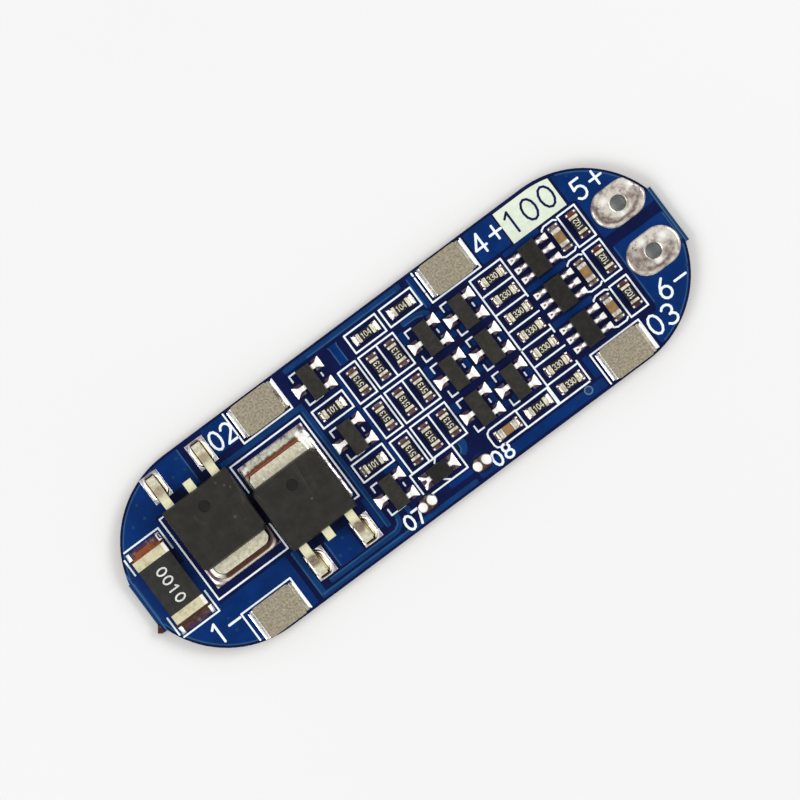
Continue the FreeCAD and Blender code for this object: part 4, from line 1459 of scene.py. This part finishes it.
def output_tin():
    """Blotchy tin of both output pads, with painted shade in patches, in their bores and along a line inside
    their rims, and painted highlights in spots.
    """
    upper, lower = [(output_hole_x(), centre(name).y) for name in OUTPUTS]
    # Painted shade: patches and a ring round each hole, where the tin dips; clear spots stay free of it
    patches = around(upper, [(-0.05, 0.55, 0.2, 0.1, 1.84), (0.5, 0.72, 0.3, 0.2), (1.4, -0.2, 0.5, 0.35)])
    patches += around(lower, [(-1.35, -0.1, 0.7, 0.3), (-0.05, 0.55, 0.22, 0.12, 1.86),
                              (0.95, -0.6, 0.45, 0.3)])
    clear = around(upper, [(0.35, 2.0, 1.7, 0.5)]) + around(lower, [(1.6, 1.4, 1.6, 0.6)])
    # Painted highlights in small spots
    painted_light = around(upper, [(-0.9, 0.75, 0.3, 0.2), (1.6, 0.75, 0.25, 0.2), (-0.2, -0.9, 0.3, 0.2)])
    painted_light += around(lower, [(-0.1, -0.8, 0.3, 0.15), (1.35, 0.6, 0.4, 0.25), (-0.4, 1.1, 0.3, 0.2)])
    pits = around(lower, [(-1.25, 1.15, 0.07, 0.04), (-0.92, 1.22, 0.06, 0.04), (-1.15, 0.9, 0.07, 0.04),
                          (-0.75, 1.38, 0.05, 0.04)])
    pits += around(upper, [(1.55, -0.5, 0.06, 0.05), (1.2, -0.75, 0.06, 0.05), (1.85, -0.3, 0.05, 0.05),
                           (-1.75, -0.2, 0.1, 0.08), (-1.6, 0.6, 0.08, 0.08), (0.7, 0.7, 0.08, 0.08)])
    material, tree = new_material("output_tin")
    colour = mottled(tree, tone(220, 213, 202), tone(146, 137, 130), 1500.0, 0.45, 0.64)
    shade = mottled(tree, tone(104, 84, 76), tone(168, 158, 150), 2600.0, 0.42, 0.6)
    mask = maths(tree, "SUBTRACT", spots(tree, patches), spots(tree, clear))
    colour = blend(tree, maths(tree, "MULTIPLY", mask, 0.85), colour, shade)
    colour = touched(tree, colour, painted_light, shaded(look("solder", "glint"), 1.1), 0.8)
    colour = touched(tree, colour, pits, shaded(look("solder", "output_tin"), 0.12), 0.75)
    # Painted shade along a line inside each rim
    for (x, y), strength in ((upper, 0.75), (lower, 0.35)):
        links = {"Centre": at(x, y), "Straight": at(0.72, 0), "Radius": 1.22 * MM, "Waver": 0.3 * MM}
        rim = maths(tree, "ABSOLUTE", placed_group(tree, outline_group, links)["Distance"])
        line = maths(tree, "MULTIPLY", ramp(tree, rim, 0.14 * MM, 0.03 * MM, 0.0, strength),
                     spot(tree, x - 0.9, y - 0.75, 1.6, 0.5))
        colour = blend(tree, line, colour, tone(92, 70, 62))
    # Painted shade in the bores
    colour = touched(tree, colour, [(*hole, 0.64, 0.02) for hole in (upper, lower)], tone(62, 84, 86))
    finish_surface(tree, colour, 1500.0, (0.16, 0.34), 0.03)
    return material


class BMS_OT_output_pads(bpy.types.Operator):
    """Tin that stands domed on the two output pads"""
    bl_idname = "bms.output_pads"
    bl_label = "Output pads"

    def execute(self, context):
        tin = output_tin()
        loops = [(radius, level, wide, 0, 0, 0) for radius, level, wide in (
            (0.645, 1.168, 0), (0.68, 1.24, 0), (0.78, 1.275, 0), (0.9, 1.25, 0.03), (1.1, 1.215, 0.35),
            (1.38, 1.235, 0.6), (1.52, 1.262, 0.68), (1.57, 1.22, 0.7), (1.6, 1.167, 0.72),
        )]
        for name in OUTPUTS:
            piece = loops_piece(name + "_tin", output_hole_x(), centre(name).y, loops, 48, keep_on_board)
            face_outward()
            deselect()
            hand_over(smooth(paint(piece, [tin]), 60), "tinned_copper")
        finish_nodes(OUTPUTS, tin)
        return {"FINISHED"}


class BMS_OT_sense_pads(bpy.types.Operator):
    """Mounds of solder on the two sense pads"""
    bl_idname = "bms.sense_pads"
    bl_label = "Sense pads"

    def execute(self, context):
        middles = [centre(name) for name in SENSE_PADS]
        material, tree = new_material("sense_solder")
        # Painted highlights on two lobes of each mound, over a painted brown reflection
        lobes = [(-0.5, -0.02, 0.4, 0.04), (0.5, 0.06, 0.44, 0.04)]
        lobes = around(middles[0], lobes) + around(middles[1], lobes)
        bright = shaded(look("solder", "bright"), 0.34)
        brown = mottled(tree, look("solder", "burnt"), bright, 2600.0, 0.46, 0.7)
        finish_surface(tree, touched(tree, brown, lobes, look("solder", "glint")), 3000.0, (0.2, 0.35), 0.01)
        masked = masked_copper("mask_round_sense_pads", tone(14, 28, 70))
        loops = [(radius, level, wide, 0, 0, 0.03) for radius, level, wide in (
            (0.85, 0.99, 0), (0.85, 1.04, 0), (0.64, 1.05, 0.28), (0.6, 1.15, 0.28), (0.5, 1.25, 0.26),
            (0.36, 1.32, 0.22), (0.18, 1.35, 0.1),
        )]
        for name, pad in zip(SENSE_PADS, middles):
            piece = loops_piece(name + "_mound", pad.x, pad.y, loops, 32)
            close_top(1.35)
            pick("VERT", lambda place, normal: abs(place.x - pad.x) < 0.14 and place.z > 1.1)
            shift(0, 0, -0.05)
            deselect()
            paint(piece, [material, masked], lambda place, normal: int(place.z < 1.048 and normal.z > 0.5))
            hand_over(smooth(piece, 60), "solder", name)
        return {"FINISHED"}


def chip_shape(name, height, wrap, code, edge):
    """Chip along X on its lands: body, coat, plated ends and its figures."""
    piece = start(name)
    add_block(0, 0, LAND_TOP + 0.03, CHIP_LENGTH - 0.08, CHIP_DEPTH - 0.02, height - 0.05)
    for side in (-1, 1):
        add_block(side * (CHIP_LENGTH - wrap) / 2, 0, LAND_TOP, wrap, CHIP_DEPTH, height)
    soften(edge, 2)
    top = LAND_TOP + height - 0.02
    if code:
        add_block(0, 0, top - 0.03, length=CHIP_LENGTH - 2 * wrap + 0.02, depth=0.62, height=0.04)
        strokes = lettering(code, -0.42, -0.23, height=0.46, step=0.3, width=0.34)
        add_strokes(strokes, width=0.07, bottom=top, height=0.016, lift=0.0004, cycle=5)
    deselect()
    return smooth(piece, 40)


def resistor_faces(place, normal):
    """Finish of a chip resistor: its ends, its figures, its coat or its body."""
    body_end, coat_level, figure_level = 0.565, LAND_TOP + 0.405, LAND_TOP + 0.442
    if abs(place.x) > body_end:
        return 0
    if place.z > figure_level:
        return 3
    return 2 if place.z > coat_level else 1


def set_chips(model, slot, *turned):
    """Stand copies of a chip in for CAD nodes: names and a turn for each group."""
    for names, turn in turned:
        for name in names:
            chip = copied(model, centre(name).x, centre(name).y, turn)
            chip.name = name + "_chip"
            hand_over(chip, slot, name)
    bpy.data.objects.remove(model)


class BMS_OT_chips(bpy.types.Operator):
    """Chip resistors with their coat and figures, and chip capacitors"""
    bl_idname = "bms.chips"
    bl_label = "Chips"

    def execute(self, context):
        shared = finishes()
        ceramic, coat, brown = [look("part", key) for key in ("ceramic", "coat", "brown_ceramic")]
        resistor = [
            shared["chip_end"],
            dull_part("chip_ceramic", ceramic, shaded(ceramic, 0.8), 3000.0, (0.5, 0.7)),
            dull_part("resistor_coat", coat, shaded(coat, 1.7), 3000.0, (0.3, 0.5)),
            dull_part("chip_figures", tone(222, 218, 200), tone(164, 158, 140), 5000.0, (0.5, 0.7)),
        ]
        for code, names, turn in (
            ("101", RESISTORS[:2], 0), ("513", RESISTORS[2:11], 90), ("330", RESISTORS[11:18], 0),
            ("102", RESISTORS[18:21], 90), ("104", RESISTORS[21:], 0),
        ):
            model = chip_shape("chip_" + code, height=0.45, wrap=0.25, code=code, edge=0.035)
            set_chips(paint(model, resistor, resistor_faces), "resistor_coat", (names, turn))
        body = dull_part("capacitor_ceramic", brown, shaded(brown, 1.4), 2600.0, (0.4, 0.55))
        model = chip_shape("chip_capacitor", height=0.8, wrap=0.38, code="", edge=0.07)
        paint(model, [shared["tin"], body], lambda place, normal: int(abs(place.x) < 0.41))
        set_chips(model, "capacitor_ceramic", (CAPACITORS[:3], 90), (CAPACITORS[3:], 0))
        return {"FINISHED"}


def two_finish(name, middle, half, body_tone):
    """Moulding within half a width of the middle, tinned lead beyond it in the near-white of a painted
    highlight.
    """
    material, tree = new_material(name)
    # The leads take the painted highlight colour of solder
    lead = look("solder", "glint")
    off = apart(tree, split(tree, object_place(tree))["X"], middle * MM)
    outside = maths(tree, "GREATER_THAN", off, half * MM)
    body = mottled(tree, body_tone, shaded(body_tone, 1.4), 2200.0)
    colour = blend(tree, outside, body, mottled(tree, lead, shaded(lead, 0.75), 1800.0))
    shader = finish_surface(tree, colour, 7000.0, (0.4, 0.55), 0.01, DULL_SPECULAR)
    tree.links.new(outside, shader.inputs["Metallic"])
    return material


def power_moulding(moulding):
    """Worn moulding of the power transistors, rubbed in places and dark in its dimples."""
    material, tree = new_material("power_moulding")
    grey = mottled(tree, shaded(moulding, 0.92), shaded(moulding, 1.25), 900.0, 0.4, 0.65)
    links = {"Colour": grey, "Scratch colour": tone(66, 65, 60), "Scale": 620.0, "Amount": 0.009}
    worn = placed_group(tree, scratch_group, links)["Colour"]
    rubs = around(DISCHARGE, [(0.62, -0.36, 0.06, 0.09)])
    rubs += [(-15.85, 4.3, 0.03, 0.1), (-15.4, 3.75, 0.03, 0.12), (-15.08, 3.35, 0.03, 0.1),
             (-16.2, 1.2, 0.05, 0.16)]
    worn = touched(tree, worn, rubs, tone(120, 116, 106), 0.5)
    dimples = around(CHARGE, [(0, 1.4, 0.42, 0.16)]) + around(DISCHARGE, [(0, 1.47, 0.42, 0.16)])
    worn = touched(tree, worn, dimples, shaded(moulding, 0.6))
    finish_surface(tree, worn, 5200.0, (0.42, 0.6), 0.016, DULL_SPECULAR)
    return material


def power_leads():
    """Tinned leadframe of the power transistors: small bright marks, painted highlights at the lead roots,
    painted shade on the bends, and solder in painted highlight and shade on one slug corner.
    """
    material, tree = new_material("power_leads")
    lead = look("part", "leadframe")
    colour = mottled(tree, shaded(lead, 1.08), shaded(lead, 0.74), 3200.0, 0.4, 0.64)
    # Painted highlights where the leads leave the body
    roots = around(CHARGE, [(x, 3.55, 0.5, 0.2) for x in (-PIN, 0, PIN)])
    roots += around(DISCHARGE, [(x, -3.5, 0.5, 0.2) for x in (-PIN, 0, PIN)])
    colour = touched(tree, colour, roots, tone(222, 218, 182))
    # Painted shade on the bends of the outer leads
    bends = mottled(tree, tone(182, 162, 134), tone(150, 136, 116), 3000.0)
    colour = touched(tree, colour, around(CHARGE, [(x, 4.6, 0.42, 0.14) for x in (-PIN, PIN)]), bends, 0.8)
    bends = mottled(tree, tone(160, 144, 124), tone(122, 106, 90), 3000.0)
    colour = touched(tree, colour, around(DISCHARGE, [(x, -4.5, 0.5, 0.12) for x in (-PIN, PIN)]), bends)
    ticks = around(DISCHARGE, [(2.38, 3.4, 0.06, 0.05), (2.14, 3.38, 0.06, 0.05), (-2.58, 3.3, 0.06, 0.06),
                               (-2.56, 3.6, 0.06, 0.06), (-1.6, 3.2, 0.08, 0.08)])
    colour = touched(tree, colour, ticks, look("solder", "glint"))
    # Bands of painted highlight and shade from the charge slug's solder, carried onto the slug's corner
    corner, far = slug_tones(tree, "charge_switch")
    low = maths(tree, "LESS_THAN", split(tree, object_place(tree))["Y"], (CHARGE.y - 2.6) * MM)
    left = maths(tree, "LESS_THAN", x_share(tree, CHARGE.x - 0.5, CHARGE.x + 4.0), 1.0)
    mask = maths(tree, "MULTIPLY", maths(tree, "MULTIPLY", low, left), maths(tree, "GREATER_THAN", far, 0.0))
    finish_surface(tree, blend(tree, mask, colour, corner), 5000.0, (0.3, 0.48), 0.008)
    return material


def protection_leads():
    """Dull short leads that shine at their knees and feet."""
    material, tree = new_material("protection_leads")
    glint = look("solder", "glint")
    colour = mottled(tree, shaded(look("solder", "dull"), 1.5), shaded(glint, 0.4), 3000.0)
    # Painted highlights on the knees and feet of the leads
    knee_glints = []
    for guard in places_of(GUARDS):
        for out, *size in ((0.98, 0.14, 0.05), (1.12, 0.09, 0.04), (1.25, 0.09, 0.04), (1.38, 0.09, 0.04)):
            knee_glints += around(guard, [(side * out, pin, *size) for side in (-1, 1) for pin in ALL_SMALL_PINS])
    finish_surface(tree, touched(tree, colour, knee_glints, glint), 5000.0, (0.25, 0.4), 0.008)
    return material


def shunt_tin():
    """Tinned ends of the shunt, with a painted highlight along one side."""
    material, tree = new_material("shunt_tin")
    colour = mottled(tree, tone(204, 198, 166), tone(166, 158, 128), 1600.0, 0.42, 0.72)
    glints = maths(tree, "MULTIPLY", x_share(tree, -22.46, -22.38), 0.75)
    colour = blend(tree, glints, colour, tone(244, 240, 232))
    finish_surface(tree, colour, 5000.0, (0.35, 0.5), 0.01)
    return material


class BMS_OT_packages(bpy.types.Operator):
    """Finishes of the moulded packages, their leads and the shunt"""
    bl_idname = "bms.packages"
    bl_label = "Packages"

    def execute(self, context):
        moulding, coat = look("part", "moulding"), look("part", "shunt")
        transistor_half, diode_half = 0.656, 0.906
        for names, name, half, depth in (
            (DRIVERS, "driver_package", transistor_half, 1.0),
            (CHANNELS[:3], "first_channel_package", transistor_half, 1.0),
            (CHANNELS[3:], "second_channel_package", transistor_half, 1.0),
            (["diode"], "diode_package", diode_half, 0.55),
        ):
            finish_nodes(names, two_finish(name, centre(names[0]).x, half, shaded(moulding, depth)))
        finish_nodes(GUARDS, dull_part("protection_moulding", shaded(moulding, 0.66), shaded(moulding, 0.95),
                                       2400.0, (0.45, 0.6), 0.012))
        finish_nodes(["charge_switch_body", "discharge_switch_body"], power_moulding(moulding))
        finish_nodes(["charge_switch_leads", "discharge_switch_leads"], power_leads())
        finish_nodes(numbered("protection_circuit_", 1, 3, "{:d}_leads"), protection_leads())
        glass = dull_part("shunt_coat", coat, shaded(coat, 1.3), 1800.0, (0.35, 0.5), 0.012)
        finish_nodes(["shunt_body"], glass)
        finish_nodes(["shunt_terminals"], shunt_tin())
        strokes = lettering("0010", SHUNT.x - 0.41, 1.42, height=0.84, step=0.84, width=0.82, turn=-90)
        line_width, shunt_top = 0.14, 1.65
        figures = printed("shunt_figures", strokes, line_width, shunt_top - 0.005, shunt_top + 0.012)
        ink = dull_part("shunt_ink", tone(226, 226, 220), tone(190, 190, 184), 2600.0, (0.5, 0.7))
        hand_over(paint(figures, [ink]), "shunt_ceramic")
        return {"FINISHED"}


STEPS = (
    BMS_OT_stage, BMS_OT_board, BMS_OT_copper, BMS_OT_vias, BMS_OT_print, BMS_OT_lands,
    BMS_OT_chip_joints, BMS_OT_lead_joints, BMS_OT_switch_joints, BMS_OT_tab_joints,
    BMS_OT_output_pads, BMS_OT_sense_pads, BMS_OT_chips, BMS_OT_packages,
)


class BMS_PT_board(bpy.types.Panel):
    """Sizes, colours and steps of the battery management board"""
    bl_label = "Battery management board"
    bl_idname = "BMS_PT_board"
    bl_space_type = "VIEW_3D"
    bl_region_type = "UI"
    bl_category = "Board"

    def draw(self, context):
        for page, group in PAGES.items():
            box = self.layout.box()
            box.label(text=page.capitalize())
            for key in group.__annotations__:
                box.prop(page_settings(page), key)
        for step in STEPS:
            self.layout.operator(step.bl_idname)


def register():
    for group in PAGES.values():
        bpy.utils.register_class(group)
    for page, group in PAGES.items():
        setattr(bpy.types.Scene, "bms_" + page, bpy.props.PointerProperty(type=group))
    for step in STEPS + (BMS_PT_board,):
        bpy.utils.register_class(step)


def unregister():
    for step in (BMS_PT_board,) + STEPS[::-1]:
        bpy.utils.unregister_class(step)
    for page, group in PAGES.items():
        delattr(bpy.types.Scene, "bms_" + page)
        bpy.utils.unregister_class(group)


def main():
    register()
    bpy.ops.bms.stage()
    bpy.ops.bms.board()
    bpy.ops.bms.copper()
    bpy.ops.bms.vias()
    bpy.ops.bms.print()
    bpy.ops.bms.lands()
    bpy.ops.bms.chip_joints()
    bpy.ops.bms.lead_joints()
    bpy.ops.bms.switch_joints()
    bpy.ops.bms.tab_joints()
    bpy.ops.bms.output_pads()
    bpy.ops.bms.sense_pads()
    bpy.ops.bms.chips()
    bpy.ops.bms.packages()
    deselect()


if __name__ == "__main__":
    main()
